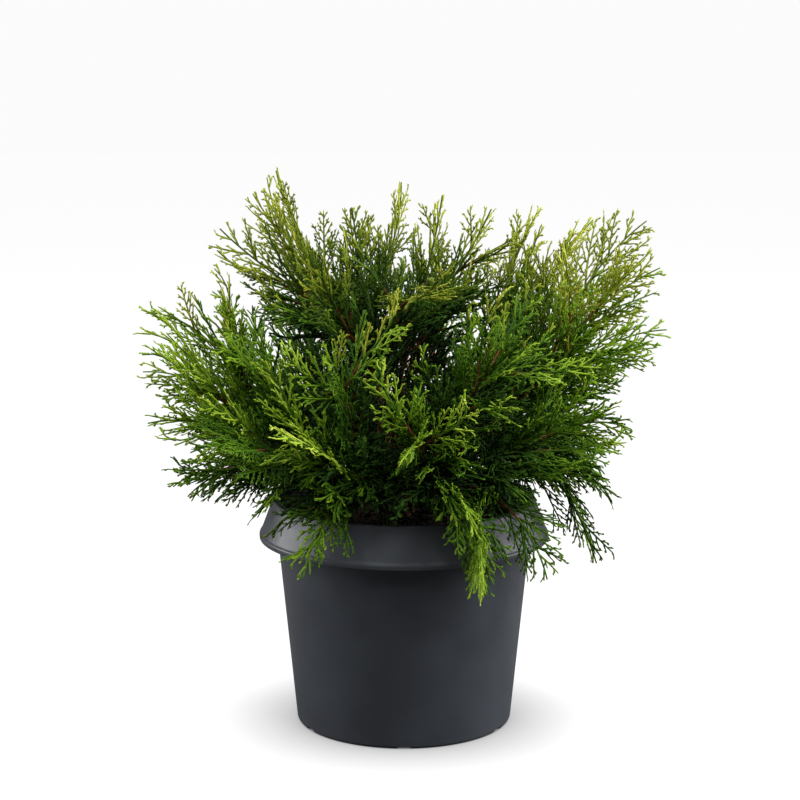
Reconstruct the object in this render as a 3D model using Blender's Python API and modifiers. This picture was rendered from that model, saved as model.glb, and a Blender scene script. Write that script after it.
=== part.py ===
"""Siberian cypress in a round plastic nursery pot.

Metres, +Z up. The origin is the centre of the pot's flat underside.

A short leaning trunk stands in the soil. Boughs leave it like spokes, and
leaders rise from its top. Every bough forks at its tip into sprays: arching
stems with flat, toothed side sprays, each keeping to its own space.
"""

import math
import random

import bmesh
import bpy
from mathutils import Matrix, Vector
from mathutils.bvhtree import BVHTree
from mathutils.kdtree import KDTree

SEED = 11
GAP = 0.0003  # clearance between solids that meet
WELD = 0.0000012  # corners closer than this are one corner
AXIS_WELD = 0.00001  # and on a turned piece's axis
FLAT_ANGLE = 0.002  # faces that meet at less than this, in radians, are one
SLIVER = 0.000003  # edges shorter than this are closed up
HANDLE_SHARE = 0.36  # length of a curve's handles, as a share of its span
NEARLY_UPRIGHT = 0.15  # below this a direction has too little slope to tell what is up

# Pot: a moulded cone with a wide overhanging rim, open underneath like a skirt.
POT_HEIGHT = 0.150
POT_SEGMENTS = 48
WALL = 0.0018
FLOOR_THICKNESS = 0.003
FOOT_RADIUS = 0.0713  # outside radius at the underside
RIM_EDGE_RADIUS = 0.0955  # widest, at the rim's lower edge
RIM_EDGE_Z = 0.1235
SHOULDER_RADIUS = 0.0868  # outer edge of the rim's rounded top
SHOULDER_Z = 0.1475
BODY_TOP_RADIUS = 0.0856  # outside of the body where it meets the rim
BODY_TOP_Z = 0.1440
LIP_RADIUS = 0.0822  # inner edge of the lip
RIM_BEAD = 0.0010  # thickening along the rim's lower edge
RIM_LEVEL = 0.0022  # height of the rim's upright lower edge
RIM_ROUND = 0.0008  # the lower edge is rounded off by this
LIP_LEVEL = 0.0030  # the lip's upright inner face ends this far down
LIP_ROUND = 0.0012
SHOULDER_ROUND = 0.0016
RIM_BELLY_SHARE = 0.39  # the rim's face falls in here, as a share of the way down it
RIM_BELLY = 0.0001
SHOULDER_DROP = 0.0006  # the lip's top slopes this much towards the shoulder
RIM_HOLLOW = 0.0004  # the body stands this far inside the rim that covers its top
FOOT_ROUND = 0.0012
FOOT_ROUND_HEIGHT = 0.0015
DRAIN_HOLES = 6
DRAIN_HOLE_RADIUS = 0.0050
DRAIN_HOLE_SIDES = 12
DRAIN_RING_RADIUS = 0.0500
CHANNEL_WIDTH = 0.009  # drainage channels across the underside's edge
CHANNEL_DEPTH = 0.0022
CHANNEL_LENGTH = 0.020
SOIL_Z = 0.1370
SOIL_CROWN = 0.0020  # the soil rises this much towards the trunk
SOIL_LEVEL_RADIUS = 0.024  # and is level within this radius
SOIL_SLOPE_RADIUS = 0.052
SOIL_SLOPE_RISE = 0.0006  # what is left of the rise at the slope's foot

# Trunk: flat cut on the soil, root flare, slight lean.
TRUNK_FOOT = Vector((-0.004, -0.006, SOIL_Z + SOIL_CROWN + GAP))
TRUNK_TOP = Vector((-0.009, -0.003, 0.1740))
TRUNK_RINGS = ((0.0, 0.0125), (0.10, 0.0102), (0.25, 0.0086), (0.5, 0.0078), (1.0, 0.0072))
TRUNK_RESOLUTION = 4  # of a curve's bevel: the trunk is rounder than the boughs
BOUGH_RESOLUTION = 1

# Boughs: spokes from two levels on the trunk, leaders from its top.
SECTORS = 10
LOW_LEVEL_Z = 0.1535
HIGH_LEVEL_Z = 0.1640
LEADERS = 3
LEADER_AZIMUTH = 150.0
LEADER_OFFSET = 0.0038
BOUGH_RADIUS = 0.0030
BOUGH_TIP_RADIUS = 0.0022
BOUGH_SHARE = 0.30  # how much of the way to the sprays' tips is bare bough
BOUGH_RINGS = 5
BOUGH_RISE = 12.0  # degrees at which a spoke bends away from the trunk
COLLAR = 0.0022  # limbs leave what bears them square to it for this length
TAPER_GAP = 0.0002  # more clearance for the trunk's taper
LEADER_RISE = 84.0

# Sprays: stems, side twigs and flat toothed blades.
STEM_RADIUS = 0.0013
STEM_TIP_RADIUS = 0.0010
STEM_RINGS = 6
TUBE_SIDES = 3
STEM_POINTS = 24  # points on the curve that a stem follows
STEM_START = (0.55, 0.35, 0.25)  # pull of the bough, of the tip and of the tier's rise
FORK_OFFSET = 0.0022
STEM_SHARE = 0.90  # the stem ends inside its last blade
TWIG_FROM, TWIG_TO = 0.14, 0.78
TWIG_ANGLE = 38.0
TWIG_REACH = 0.56  # length of a side twig at the stem's root, as a share of the stem's
TWIG_SHORTENING = 0.44
ROLL_SPREAD = 55.0  # degrees by which a spray's plane may turn out of the upright
SIDE_SPREAD = 32.0  # and a twig out of that plane
LEAN_SPREAD = 7.0  # and its angle to the stem may differ
PLANE_SPREAD = 40.0  # and its blade turn about its own axis
REACH_SPREAD = (0.88, 1.08)
TIP_BLADE_FROM = 0.74  # where on the stem the last blade starts
STALK_HALF_WIDTH = 0.050  # as a share of the blade's width
SIDE_STALK = 0.22  # bare share of a side blade
TIP_STALK = 0.10
BLADE_THICKNESS = 0.0007
BLADE_WIDTH_SHARE = 0.62
BLADE_TEETH_END = 0.82  # the last teeth stand this far along a blade
BLADE_NARROWING = 0.80
BLADE_VALLEY = 0.46  # how deep the blade is cut between its teeth
VALLEY_STEP = 0.06  # a valley lies this share of a tooth beyond the tooth's point
SIDE_TEETH, TIP_TEETH = 2, 3
INTERLEAVING = 0.020  # a blade may come this much nearer to another stem than its own
TRIM_SHARES = (1.0, 0.85, 0.7, 0.55)
BLADE_MARGIN = 0.0004
BLADE_AIR = (1.02, 1.04)  # a blade's space is this much longer and wider than the blade
LIMB_MARGIN = 0.0004
LIMB_AIR = 1.25  # a three-sided tube this much wider takes in the round limb
POT_MARGIN = 0.002
SOLVERS = ("EXACT", "MANIFOLD")  # the second where the first comes out unsound
SOUND_SHARE = 0.6  # a sound union keeps at least this much of its pieces' volume
LAST_SHORTENING = 0.97  # of the last blade, each time a union comes out unsound

# Rise is the angle at which a tier's sprays set out, leafage a factor on the length of
# their side twigs, and twigs how many they have. One row per spray: azimuth in degrees anticlockwise
# from +X, reach from the pot's axis, height of the tip over the pot, pitch at the tip.
TIERS = {
    "leader": {
        "rise": 78.0,
        "leafage": 1.0,
        "twigs": 5,
        "sprays": (
            (151, 0.097, 0.211, 75),
            (163, 0.104, 0.197, 58),
            (176, 0.120, 0.176, 45),
            (130, 0.054, 0.187, 75),
            (92, 0.050, 0.203, 82),
            (58, 0.048, 0.195, 75),
            (26, 0.064, 0.187, 62),
            (268, 0.052, 0.160, 58),
            (222, 0.085, 0.150, 45),
        ),
    },
    "upper": {
        "rise": 52.0,
        "leafage": 1.0,
        "twigs": 5,
        "sprays": (
            (179, 0.166, 0.122, 6),
            (130, 0.128, 0.152, 42),
            (78, 0.122, 0.152, 42),
            (38, 0.118, 0.183, 44),
            (20, 0.134, 0.178, 42),
            (7, 0.160, 0.180, 36),
            (346, 0.166, 0.156, 26),
            (306, 0.130, 0.118, 15),
            (247, 0.128, 0.112, 12),
            (213, 0.142, 0.110, 8),
        ),
    },
    "spread": {
        "rise": 36.0,
        "leafage": 1.05,
        "twigs": 5,
        "sprays": (
            (2, 0.172, 0.110, 2),
            (30, 0.170, 0.070, -12),
            (62, 0.170, 0.066, -8),
            (96, 0.170, 0.070, -6),
            (128, 0.170, 0.060, -10),
            (156, 0.170, 0.070, -8),
            (182, 0.170, 0.084, -4),
            (193, 0.168, 0.056, -10),
            (212, 0.156, 0.046, -18),
            (238, 0.150, 0.050, -22),
            (272, 0.150, 0.056, -22),
            (334, 0.158, 0.058, -20),
        ),
    },
    "skirt": {
        "rise": 26.0,
        "leafage": 1.25,
        "twigs": 5,
        "sprays": (
            (202, 0.148, 0.012, -44),
            (240, 0.124, -0.028, -74),
            (294, 0.122, -0.038, -76),
            (316, 0.124, -0.034, -72),
            (343, 0.130, -0.036, -72),
            (20, 0.146, 0.004, -52),
            (76, 0.142, -0.006, -56),
            (138, 0.142, -0.004, -56),
        ),
    },
    "inner": {
        "rise": 20.0,
        "leafage": 1.9,
        "twigs": 4,
        "sprays": (
            (222, 0.104, 0.034, -10),
            (258, 0.100, 0.026, -14),
            (308, 0.104, 0.032, -8),
            (50, 0.104, 0.036, -5),
            (112, 0.104, 0.034, -5),
        ),
    },
}

# Screen-linear base colour and roughness of each material.
COLOURS = {
    "pot": ((0.045, 0.048, 0.052), 0.42),
    "soil": ((0.030, 0.022, 0.016), 0.95),
    "bark": ((0.240, 0.110, 0.055), 0.85),
    "leader": ((0.210, 0.330, 0.060), 0.60),
    "upper": ((0.200, 0.320, 0.055), 0.60),
    "spread": ((0.140, 0.270, 0.045), 0.60),
    "skirt": ((0.090, 0.200, 0.040), 0.60),
    "inner": ((0.060, 0.150, 0.035), 0.60),
}


# ---------------------------------------------------------------- helpers


def clear_scene():
    for obj in list(bpy.data.objects):
        bpy.data.objects.remove(obj, do_unlink=True)


def new_collection(name, parent):
    made = bpy.data.collections.new(name)
    parent.children.link(made)
    return made


def principled(name):
    material = bpy.data.materials.get(name)
    if material:
        return material
    colour, roughness = COLOURS[name]
    material = bpy.data.materials.new(name)
    material.use_nodes = True
    shader = material.node_tree.nodes["Principled BSDF"]
    shader.inputs["Base Color"].default_value = (*colour, 1.0)
    shader.inputs["Roughness"].default_value = roughness
    return material


def link(obj, collection, material):
    obj.data.materials.clear()
    obj.data.materials.append(principled(material))
    collection.objects.link(obj)
    return obj


def evaluated_mesh(obj):
    """The object's mesh with its modifiers applied, cleaned and welded."""
    bpy.context.view_layer.update()
    graph = bpy.context.evaluated_depsgraph_get()
    mesh = bpy.data.meshes.new_from_object(obj.evaluated_get(graph))
    shape = bmesh.new()
    shape.from_mesh(mesh)
    bmesh.ops.dissolve_limit(
        shape, angle_limit=FLAT_ANGLE, verts=shape.verts, edges=shape.edges, use_dissolve_boundaries=False
    )
    bmesh.ops.triangulate(shape, faces=shape.faces)
    bmesh.ops.dissolve_degenerate(shape, edges=shape.edges, dist=SLIVER)
    bmesh.ops.remove_doubles(shape, verts=shape.verts, dist=WELD)
    shape.to_mesh(mesh)
    shape.free()
    return mesh


def direction(azimuth, pitch):
    a, p = math.radians(azimuth), math.radians(pitch)
    return Vector((math.cos(a) * math.cos(p), math.sin(a) * math.cos(p), math.sin(p)))


def bezier(start, out, end, arriving, count, part=1.0):
    """Points on the first part of the cubic that leaves start along out and reaches end
    along arriving."""
    handle = (end - start).length * HANDLE_SHARE
    a, b = start + out * handle, end - arriving * handle
    points = []
    for i in range(count):
        t = part * i / (count - 1)
        s = 1 - t
        points.append(start * s**3 + a * (3 * s * s * t) + b * (3 * s * t * t) + end * t**3)
    return points


def point_at(points, share):
    """The point, and the unit tangent, this share of the way along a run of points."""
    place = min(max(share, 0.0), 1.0) * (len(points) - 1)
    i = min(int(place), len(points) - 2)
    step = points[i + 1] - points[i]
    return points[i] + step * (place - i), step.normalized()


def angle_between(a, b):
    """The smaller angle between two azimuths, in degrees."""
    return abs((a - b + 180) % 360 - 180)


# ---------------------------------------------------------------- pot and soil


def wall_inside(z):
    """Inside radius of the pot's wall at this height."""
    return FOOT_RADIUS - WALL + (BODY_TOP_RADIUS - FOOT_RADIUS) * z / BODY_TOP_Z


def pot_profile():
    """The wall's section, from the inside floor's centre over the rim to the underside's."""
    slope_radius, slope_z = Vector((SHOULDER_RADIUS, SHOULDER_Z)).lerp(
        Vector((RIM_EDGE_RADIUS, RIM_EDGE_Z)), RIM_BELLY_SHARE
    )
    under_rim = BODY_TOP_Z - RIM_LEVEL
    return (
        (0.0, FLOOR_THICKNESS),
        (wall_inside(FLOOR_THICKNESS), FLOOR_THICKNESS),
        (wall_inside(BODY_TOP_Z), BODY_TOP_Z),
        (LIP_RADIUS, POT_HEIGHT - LIP_LEVEL),
        (LIP_RADIUS, POT_HEIGHT - LIP_ROUND),
        (LIP_RADIUS + LIP_ROUND, POT_HEIGHT),
        (SHOULDER_RADIUS - SHOULDER_ROUND, POT_HEIGHT - SHOULDER_DROP),
        (SHOULDER_RADIUS, SHOULDER_Z),
        (slope_radius - RIM_BELLY, slope_z),
        (RIM_EDGE_RADIUS - RIM_ROUND, RIM_EDGE_Z + 2 * RIM_LEVEL),
        (RIM_EDGE_RADIUS, RIM_EDGE_Z + RIM_LEVEL),
        (RIM_EDGE_RADIUS, RIM_EDGE_Z + RIM_ROUND),
        (RIM_EDGE_RADIUS - RIM_ROUND, RIM_EDGE_Z),
        (RIM_EDGE_RADIUS - WALL - RIM_BEAD, RIM_EDGE_Z),
        (SHOULDER_RADIUS + RIM_HOLLOW, under_rim),
        (BODY_TOP_RADIUS - RIM_HOLLOW, under_rim),
        (FOOT_RADIUS, FOOT_ROUND_HEIGHT),
        (FOOT_RADIUS - FOOT_ROUND, 0.0),
        (0.0, 0.0),
    )


def turned(name, profile, segments, collection, material):
    mesh = bpy.data.meshes.new(name)
    points = [(x, 0.0, z) for x, z in profile]
    mesh.from_pydata(points, [(i, i + 1) for i in range(len(points) - 1)], [])
    obj = link(bpy.data.objects.new(name, mesh), collection, material)
    screw = obj.modifiers.new("turn", "SCREW")
    screw.steps = screw.render_steps = segments
    screw.use_merge_vertices = True
    screw.merge_threshold = AXIS_WELD
    screw.use_smooth_shade = True
    return obj


def drain_cutter(collection):
    """Round holes through the floor, and channels that let the water out under the edge."""
    obj = bpy.data.objects.new("drain_cutter", bpy.data.meshes.new("drain_cutter"))
    obj.hide_render = True
    collection.objects.link(obj)
    shape = bmesh.new()
    for i in range(DRAIN_HOLES):
        turn = Matrix.Rotation(math.tau * i / DRAIN_HOLES, 4, "Z")
        hole = turn @ Matrix.Translation((DRAIN_RING_RADIUS, 0.0, FLOOR_THICKNESS / 2))
        bmesh.ops.create_cone(
            shape,
            cap_ends=True,
            segments=DRAIN_HOLE_SIDES,
            radius1=DRAIN_HOLE_RADIUS,
            radius2=DRAIN_HOLE_RADIUS,
            depth=FLOOR_THICKNESS * 3,
            matrix=hole,
        )
    for i in range(DRAIN_HOLES):
        turn = Matrix.Rotation(math.tau * (i + 0.5) / DRAIN_HOLES, 4, "Z")
        place = Matrix.Translation((FOOT_RADIUS, 0.0, 0.0))
        size = Matrix.Diagonal((CHANNEL_LENGTH, CHANNEL_WIDTH, CHANNEL_DEPTH * 2, 1.0))
        bmesh.ops.create_cube(shape, size=1.0, matrix=turn @ place @ size)
    shape.to_mesh(obj.data)
    shape.free()
    return obj


def build_pot(collection, cutters):
    pot = turned("pot", pot_profile(), POT_SEGMENTS, collection, "pot")
    drain = pot.modifiers.new("drain", "BOOLEAN")
    drain.operation = "DIFFERENCE"
    drain.object = drain_cutter(cutters)
    return pot


def build_soil(collection):
    """The filled inside of the pot, a hair clear of its wall, rising a little to the trunk."""
    bottom = FLOOR_THICKNESS + GAP
    profile = (
        (0.0, SOIL_Z + SOIL_CROWN),
        (SOIL_LEVEL_RADIUS, SOIL_Z + SOIL_CROWN),
        (SOIL_SLOPE_RADIUS, SOIL_Z + SOIL_SLOPE_RISE),
        (wall_inside(SOIL_Z) - 2 * GAP, SOIL_Z),
        (wall_inside(bottom) - 2 * GAP, bottom),
        (0.0, bottom),
    )
    return turned("soil", profile, POT_SEGMENTS // 2, collection, "soil")


# ---------------------------------------------------------------- trunk and boughs


def limb(name, points, radii, resolution, collection):
    """A tapering round limb along points, as a bevelled curve with closed ends."""
    curve = bpy.data.curves.new(name, "CURVE")
    curve.dimensions = "3D"
    curve.bevel_depth = 1.0
    curve.bevel_resolution = resolution
    curve.use_fill_caps = True
    spline = curve.splines.new("POLY")
    spline.points.add(len(points) - 1)
    for spot, place, radius in zip(spline.points, points, radii):
        spot.co = (*place, 1.0)
        spot.radius = radius
    return link(bpy.data.objects.new(name, curve), collection, "bark")


def trunk_at(z):
    """Centre and radius of the trunk at this height."""
    share = (z - TRUNK_FOOT.z) / (TRUNK_TOP.z - TRUNK_FOOT.z)
    for (low, r_low), (high, r_high) in zip(TRUNK_RINGS, TRUNK_RINGS[1:]):
        if share <= high:
            break
    radius = r_low + (r_high - r_low) * (share - low) / (high - low)
    return TRUNK_FOOT.lerp(TRUNK_TOP, share), radius


def build_trunk(collection):
    points = [TRUNK_FOOT.lerp(TRUNK_TOP, share) for share, _ in TRUNK_RINGS]
    radii = [radius for _, radius in TRUNK_RINGS]
    # An upright first ring keeps the foot flat on the soil.
    points[1] = Vector((*points[0].xy, points[1].z))
    return limb("trunk", points, radii, TRUNK_RESOLUTION, collection)


class Bough:
    """A bare limb from the trunk to the fork where its sprays start."""

    def __init__(self, name, start, out, rise, azimuth):
        self.name = name
        self.start = start
        self.out = out
        self.rise = rise
        self.azimuth = azimuth
        self.sprays = []
        self.points = []

    def shape(self):
        """Bends the bough towards the middle of its sprays' tips."""
        tips = [spray.tip for spray in self.sprays]
        middle = sum(tips, Vector()) / len(tips)
        arriving = sum((spray.end for spray in self.sprays), Vector()).normalized()
        leaving = (self.out + direction(self.azimuth, self.rise)).normalized()
        collar = self.start + self.out * COLLAR
        bare = bezier(collar, leaving, middle, arriving, BOUGH_RINGS, BOUGH_SHARE)
        self.points = [self.start] + bare

    def radii(self):
        last = len(self.points) - 1
        return [BOUGH_RADIUS + (BOUGH_TIP_RADIUS - BOUGH_RADIUS) * i / last for i in range(last + 1)]


class Spray:
    """A mass of foliage: where its tip is, and the stem that leads to it."""

    def __init__(self, name, tier, row):
        azimuth, reach, height, pitch = row
        self.name = name
        self.tier = tier
        self.azimuth = azimuth
        self.tip = direction(azimuth, 0.0) * reach + Vector((0.0, 0.0, POT_HEIGHT + height))
        self.end = direction(azimuth, pitch)
        self.points = []

    def shape(self, bough, offset):
        """Draws the stem's curve from its place on the bough's end to the spray's tip."""
        tangent = (bough.points[-1] - bough.points[-2]).normalized()
        start = bough.points[-1] + tangent * GAP + offset
        rise = direction(self.azimuth, TIERS[self.tier]["rise"])
        aims = (tangent, (self.tip - start).normalized(), rise)
        out = sum((aim * pull for aim, pull in zip(aims, STEM_START)), Vector()).normalized()
        collar = start + tangent * COLLAR
        self.points = [start] + bezier(collar, out, self.tip, self.end, STEM_POINTS)


def lay_out_boughs():
    """Spokes leave the trunk square to its side, and leaders square to its top."""
    boughs = []
    axis = (TRUNK_TOP - TRUNK_FOOT).normalized()
    for i in range(SECTORS):
        azimuth = 360.0 * i / SECTORS
        out = direction(azimuth, 0.0)
        out = (out - axis * out.dot(axis)).normalized()
        centre, radius = trunk_at(LOW_LEVEL_Z if i % 2 else HIGH_LEVEL_Z)
        start = centre + out * (radius + GAP + TAPER_GAP)
        boughs.append(Bough(f"bough_{i + 1:02d}", start, out, BOUGH_RISE, azimuth))
    for i in range(LEADERS):
        azimuth = (LEADER_AZIMUTH + 360.0 * i / LEADERS) % 360
        beside = direction(azimuth, 0.0)
        beside = (beside - axis * beside.dot(axis)).normalized()
        start = TRUNK_TOP + beside * LEADER_OFFSET + axis * GAP
        boughs.append(Bough(f"leader_{i + 1}", start, axis, LEADER_RISE, azimuth))
    return boughs


def lay_out_sprays(boughs):
    """Gives each spray to the bough nearest its azimuth, and shapes every limb."""
    sprays = []
    for tier, habit in TIERS.items():
        for i, row in enumerate(habit["sprays"]):
            sprays.append(Spray(f"foliage_{tier}_{i + 1:02d}", tier, row))
    spokes, leaders = boughs[:SECTORS], boughs[SECTORS:]
    for spray in sprays:
        among = leaders if spray.tier == "leader" else spokes
        nearest = min(among, key=lambda b: angle_between(b.azimuth, spray.azimuth))
        nearest.sprays.append(spray)
    used = [bough for bough in boughs if bough.sprays]
    for bough in used:
        bough.shape()
        place_fork(bough)
    return used, sprays


def place_fork(bough):
    """Starts the sprays side by side on the bough's end, each on the side it grows to."""
    tangent = (bough.points[-1] - bough.points[-2]).normalized()
    across = tangent.orthogonal().normalized()
    upward = tangent.cross(across)

    def bearing(spray):
        away = spray.tip - bough.points[-1]
        return math.atan2(away.dot(upward), away.dot(across))

    order = sorted(bough.sprays, key=bearing)
    step = math.tau / len(order)
    turns = [bearing(spray) - step * i for i, spray in enumerate(order)]
    first = math.atan2(sum(map(math.sin, turns)), sum(map(math.cos, turns)))
    for i, spray in enumerate(order):
        angle = first + step * i
        offset = (across * math.cos(angle) + upward * math.sin(angle)) * FORK_OFFSET
        spray.shape(bough, offset if len(order) > 1 else Vector())


# ---------------------------------------------------------------- spaces


class Spaces:
    """The space of every spray, and what already stands in it."""

    def __init__(self, sprays, boughs):
        self.owners = []
        self.stems = KDTree(sum(len(spray.points) for spray in sprays))
        for spray in sprays:
            for point in spray.points:
                self.stems.insert(point, len(self.owners))
                self.owners.append(spray.name)
        self.stems.balance()
        self.standing = {bough.name: [thick_tube(bough.points, bough.radii())] for bough in boughs}
        for spray in sprays:
            radii = [STEM_RADIUS] * len(spray.points)
            self.standing[spray.name] = [thick_tube(spray.points, radii)]

    def holds(self, name, point):
        """True if the point is well within the spray's reach, and clear of pot and trunk."""
        own = self.stems.find(point, filter=lambda i: self.owners[i] == name)[2]
        other = self.stems.find(point, filter=lambda i: self.owners[i] != name)[2]
        return own - other < INTERLEAVING and clear_of_pot(point) and clear_of_trunk(point)

    def is_free(self, name, tree):
        """True if nothing that belongs to another spray or to a bough stands there."""
        for owner, trees in self.standing.items():
            if owner != name and any(tree.overlap(other) for other in trees):
                return False
        return True


def tree_of(mesh):
    """The mesh as a tree that tells quickly whether another one crosses it."""
    corners = [vert.co.copy() for vert in mesh.vertices]
    return BVHTree.FromPolygons(corners, [tuple(face.vertices) for face in mesh.polygons])


def thick_tube(points, radii):
    """The space that a limb takes up, with some air round it."""
    return tree_of(tube("space", points, [(radius + LIMB_MARGIN) * LIMB_AIR for radius in radii]))


def clear_of_pot(point):
    radius = point.xy.length
    if radius < BODY_TOP_RADIUS - WALL - POT_MARGIN:
        return point.z > SOIL_Z + SOIL_CROWN + POT_MARGIN
    if radius < RIM_EDGE_RADIUS + POT_MARGIN:
        return point.z > POT_HEIGHT + POT_MARGIN
    return point.z > POT_MARGIN


def clear_of_trunk(point):
    if point.z > TRUNK_TOP.z + POT_MARGIN:
        return True
    centre, radius = trunk_at(max(point.z, TRUNK_FOOT.z))
    return (point - centre).xy.length > radius + LIMB_MARGIN


# ---------------------------------------------------------------- sprays


def blade_outline(teeth, stalk):
    """One side of a stalked blade of unit length and width, from its root to its tip."""
    side = [(stalk, STALK_HALF_WIDTH)]
    pitch = (BLADE_TEETH_END - stalk) / teeth
    for i in range(teeth):
        reach = stalk + pitch * (i + 1)
        spread = 0.50 * (1 - BLADE_NARROWING * i / teeth)
        side.append((reach, spread))
        if i < teeth - 1:
            side.append((reach + pitch * VALLEY_STEP, spread * BLADE_VALLEY))
    return side


def blade_template(teeth, stalk):
    """A toothed blade of unit length, width and thickness along +X, and its outline."""
    side = blade_outline(teeth, stalk)
    outline = [(0.0, 0.0)] + side + [(1.0, 0.0)] + [(x, -y) for x, y in reversed(side)]
    curve = bpy.data.curves.new("blade", "CURVE")
    curve.dimensions = "2D"
    curve.fill_mode = "BOTH"
    curve.extrude = 0.5
    spline = curve.splines.new("POLY")
    spline.points.add(len(outline) - 1)
    for spot, (x, y) in zip(spline.points, outline):
        spot.co = (x, y, 0.0, 1.0)
    spline.use_cyclic_u = True
    obj = bpy.data.objects.new("blade", curve)
    bpy.context.scene.collection.objects.link(obj)
    mesh = evaluated_mesh(obj)
    bpy.data.objects.remove(obj)
    return mesh, outline


def closed_mesh(name, rings):
    """A closed mesh from rings of equally many points, capped at both ends."""
    shape = bmesh.new()
    rows = [[shape.verts.new(point) for point in ring] for ring in rings]
    for low, high in zip(rows, rows[1:]):
        for i in range(len(low)):
            j = (i + 1) % len(low)
            shape.faces.new((low[i], low[j], high[j], high[i]))
    shape.faces.new(reversed(rows[0]))
    shape.faces.new(rows[-1])
    shape.normal_update()
    bmesh.ops.triangulate(shape, faces=shape.faces)
    mesh = bpy.data.meshes.new(name)
    shape.to_mesh(mesh)
    shape.free()
    return mesh


def frame_along(tangent, lateral):
    """Rotation whose X is the tangent and whose Y is the lateral direction."""
    x = tangent.normalized()
    y = (lateral - x * lateral.dot(x)).normalized()
    z = x.cross(y)
    return Matrix((x, y, z)).transposed()


def lateral_at(tangent, roll):
    """The direction across a stem: upright at roll 0, and turned round the stem by roll."""
    up = Vector((0.0, 0.0, 1.0)) - tangent * tangent.z
    if up.length < NEARLY_UPRIGHT:
        up = Vector((1.0, 0.0, 0.0)) - tangent * tangent.x
    up.normalize()
    return up * math.cos(roll) + tangent.cross(up) * math.sin(roll)


class Twig:
    """A straight side twig: where it starts, which way it goes, and its blade's plane."""

    def __init__(self, start, out, lateral, length):
        self.start = start
        self.out = out
        self.lateral = lateral
        self.length = length

    def matrix(self):
        """Takes the unit blade to its place, size and plane."""
        turn = frame_along(self.out, self.lateral)
        size = Matrix.Diagonal((self.length, self.length * BLADE_WIDTH_SHARE, BLADE_THICKNESS, 1.0))
        return Matrix.Translation(self.start) @ turn.to_4x4() @ size


def spray_twigs(spray, index):
    """The rule: twigs alternate along the stem, shorter towards its tip."""
    dice = random.Random(SEED * 1000 + index)
    length = (spray.tip - spray.points[0]).length
    roll = math.radians(dice.uniform(-ROLL_SPREAD, ROLL_SPREAD))
    habit = TIERS[spray.tier]
    count = habit["twigs"]
    twigs = []
    for i in range(count):
        share = TWIG_FROM + (TWIG_TO - TWIG_FROM) * i / (count - 1)
        place, tangent = point_at(spray.points, share)
        side = roll + math.pi * (i % 2) + math.radians(dice.uniform(-SIDE_SPREAD, SIDE_SPREAD))
        lateral = lateral_at(tangent, side)
        lean = math.radians(TWIG_ANGLE + dice.uniform(-LEAN_SPREAD, LEAN_SPREAD))
        out = tangent * math.cos(lean) + lateral * math.sin(lean)
        reach = length * (TWIG_REACH - TWIG_SHORTENING * share) * habit["leafage"]
        turn = math.radians(dice.uniform(-PLANE_SPREAD, PLANE_SPREAD))
        reach *= dice.uniform(*REACH_SPREAD)
        twigs.append(Twig(place, out, lateral_at(out, side + turn), reach))
    return twigs, roll


def tip_twig(spray, roll):
    """The last blade, which carries the stem on to the spray's tip."""
    place, _ = point_at(spray.points, TIP_BLADE_FROM)
    length = (spray.tip - place).length
    out = (spray.tip - place).normalized()
    return Twig(place, out, lateral_at(out, roll), length)


def space_of(twig, blade):
    """The blade thickened and widened by the air that it keeps round it."""
    mesh = blade.copy()
    air = 1 + 2 * BLADE_MARGIN / BLADE_THICKNESS
    mesh.transform(twig.matrix() @ Matrix.Diagonal((*BLADE_AIR, air, 1.0)))
    return tree_of(mesh)


def place_twig(spaces, spray, twig, blade, outline):
    """The twig at the longest of a few lengths that has room, or None."""
    for share in TRIM_SHARES:
        shorter = Twig(twig.start, twig.out, twig.lateral, twig.length * share)
        matrix = shorter.matrix()
        spots = [matrix @ Vector((x, y, 0.0)) for x, y in outline[1:]]
        if not all(spaces.holds(spray.name, spot) for spot in spots):
            continue
        space = space_of(shorter, blade)
        if spaces.is_free(spray.name, space):
            spaces.standing[spray.name].append(space)
            return shorter
    return None


def tube(name, points, radii):
    """A tapering tube of few sides along points, closed at both ends and never twisting."""
    rings = []
    lateral = (points[1] - points[0]).orthogonal()
    for i, (point, radius) in enumerate(zip(points, radii)):
        before, after = points[max(i - 1, 0)], points[min(i + 1, len(points) - 1)]
        turn = frame_along(after - before, lateral)
        lateral = turn.col[1]
        ring = []
        for k in range(TUBE_SIDES):
            angle = math.tau * k / TUBE_SIDES
            ring.append(point + turn @ Vector((0.0, math.sin(angle), math.cos(angle))) * radius)
        rings.append(ring)
    return closed_mesh(name, rings)


def stem_mesh(spray):
    """The spray's stem, from its clearance at the bough to inside its last blade."""
    shares = [i / (STEM_RINGS - 1) for i in range(STEM_RINGS)]
    points = [point_at(spray.points[1:], share * STEM_SHARE)[0] for share in shares]
    radii = [STEM_RADIUS + (STEM_TIP_RADIUS - STEM_RADIUS) * share for share in shares]
    return tube(spray.name, [spray.points[0]] + points, [STEM_RADIUS] + radii)


def keep_largest(mesh):
    """Drops loose scraps and sealed inner shells that the union leaves behind."""
    shape = bmesh.new()
    shape.from_mesh(mesh)
    unseen, largest = set(shape.verts), []
    while unseen:
        island, edge = [], [unseen.pop()]
        while edge:
            vert = edge.pop()
            island.append(vert)
            for link_edge in vert.link_edges:
                other = link_edge.other_vert(vert)
                if other in unseen:
                    unseen.remove(other)
                    edge.append(other)
        if len(island) > len(largest):
            largest = island
    scraps = list(set(shape.verts) - set(largest))
    bmesh.ops.delete(shape, geom=scraps, context="VERTS")
    shape.to_mesh(mesh)
    shape.free()


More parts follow.
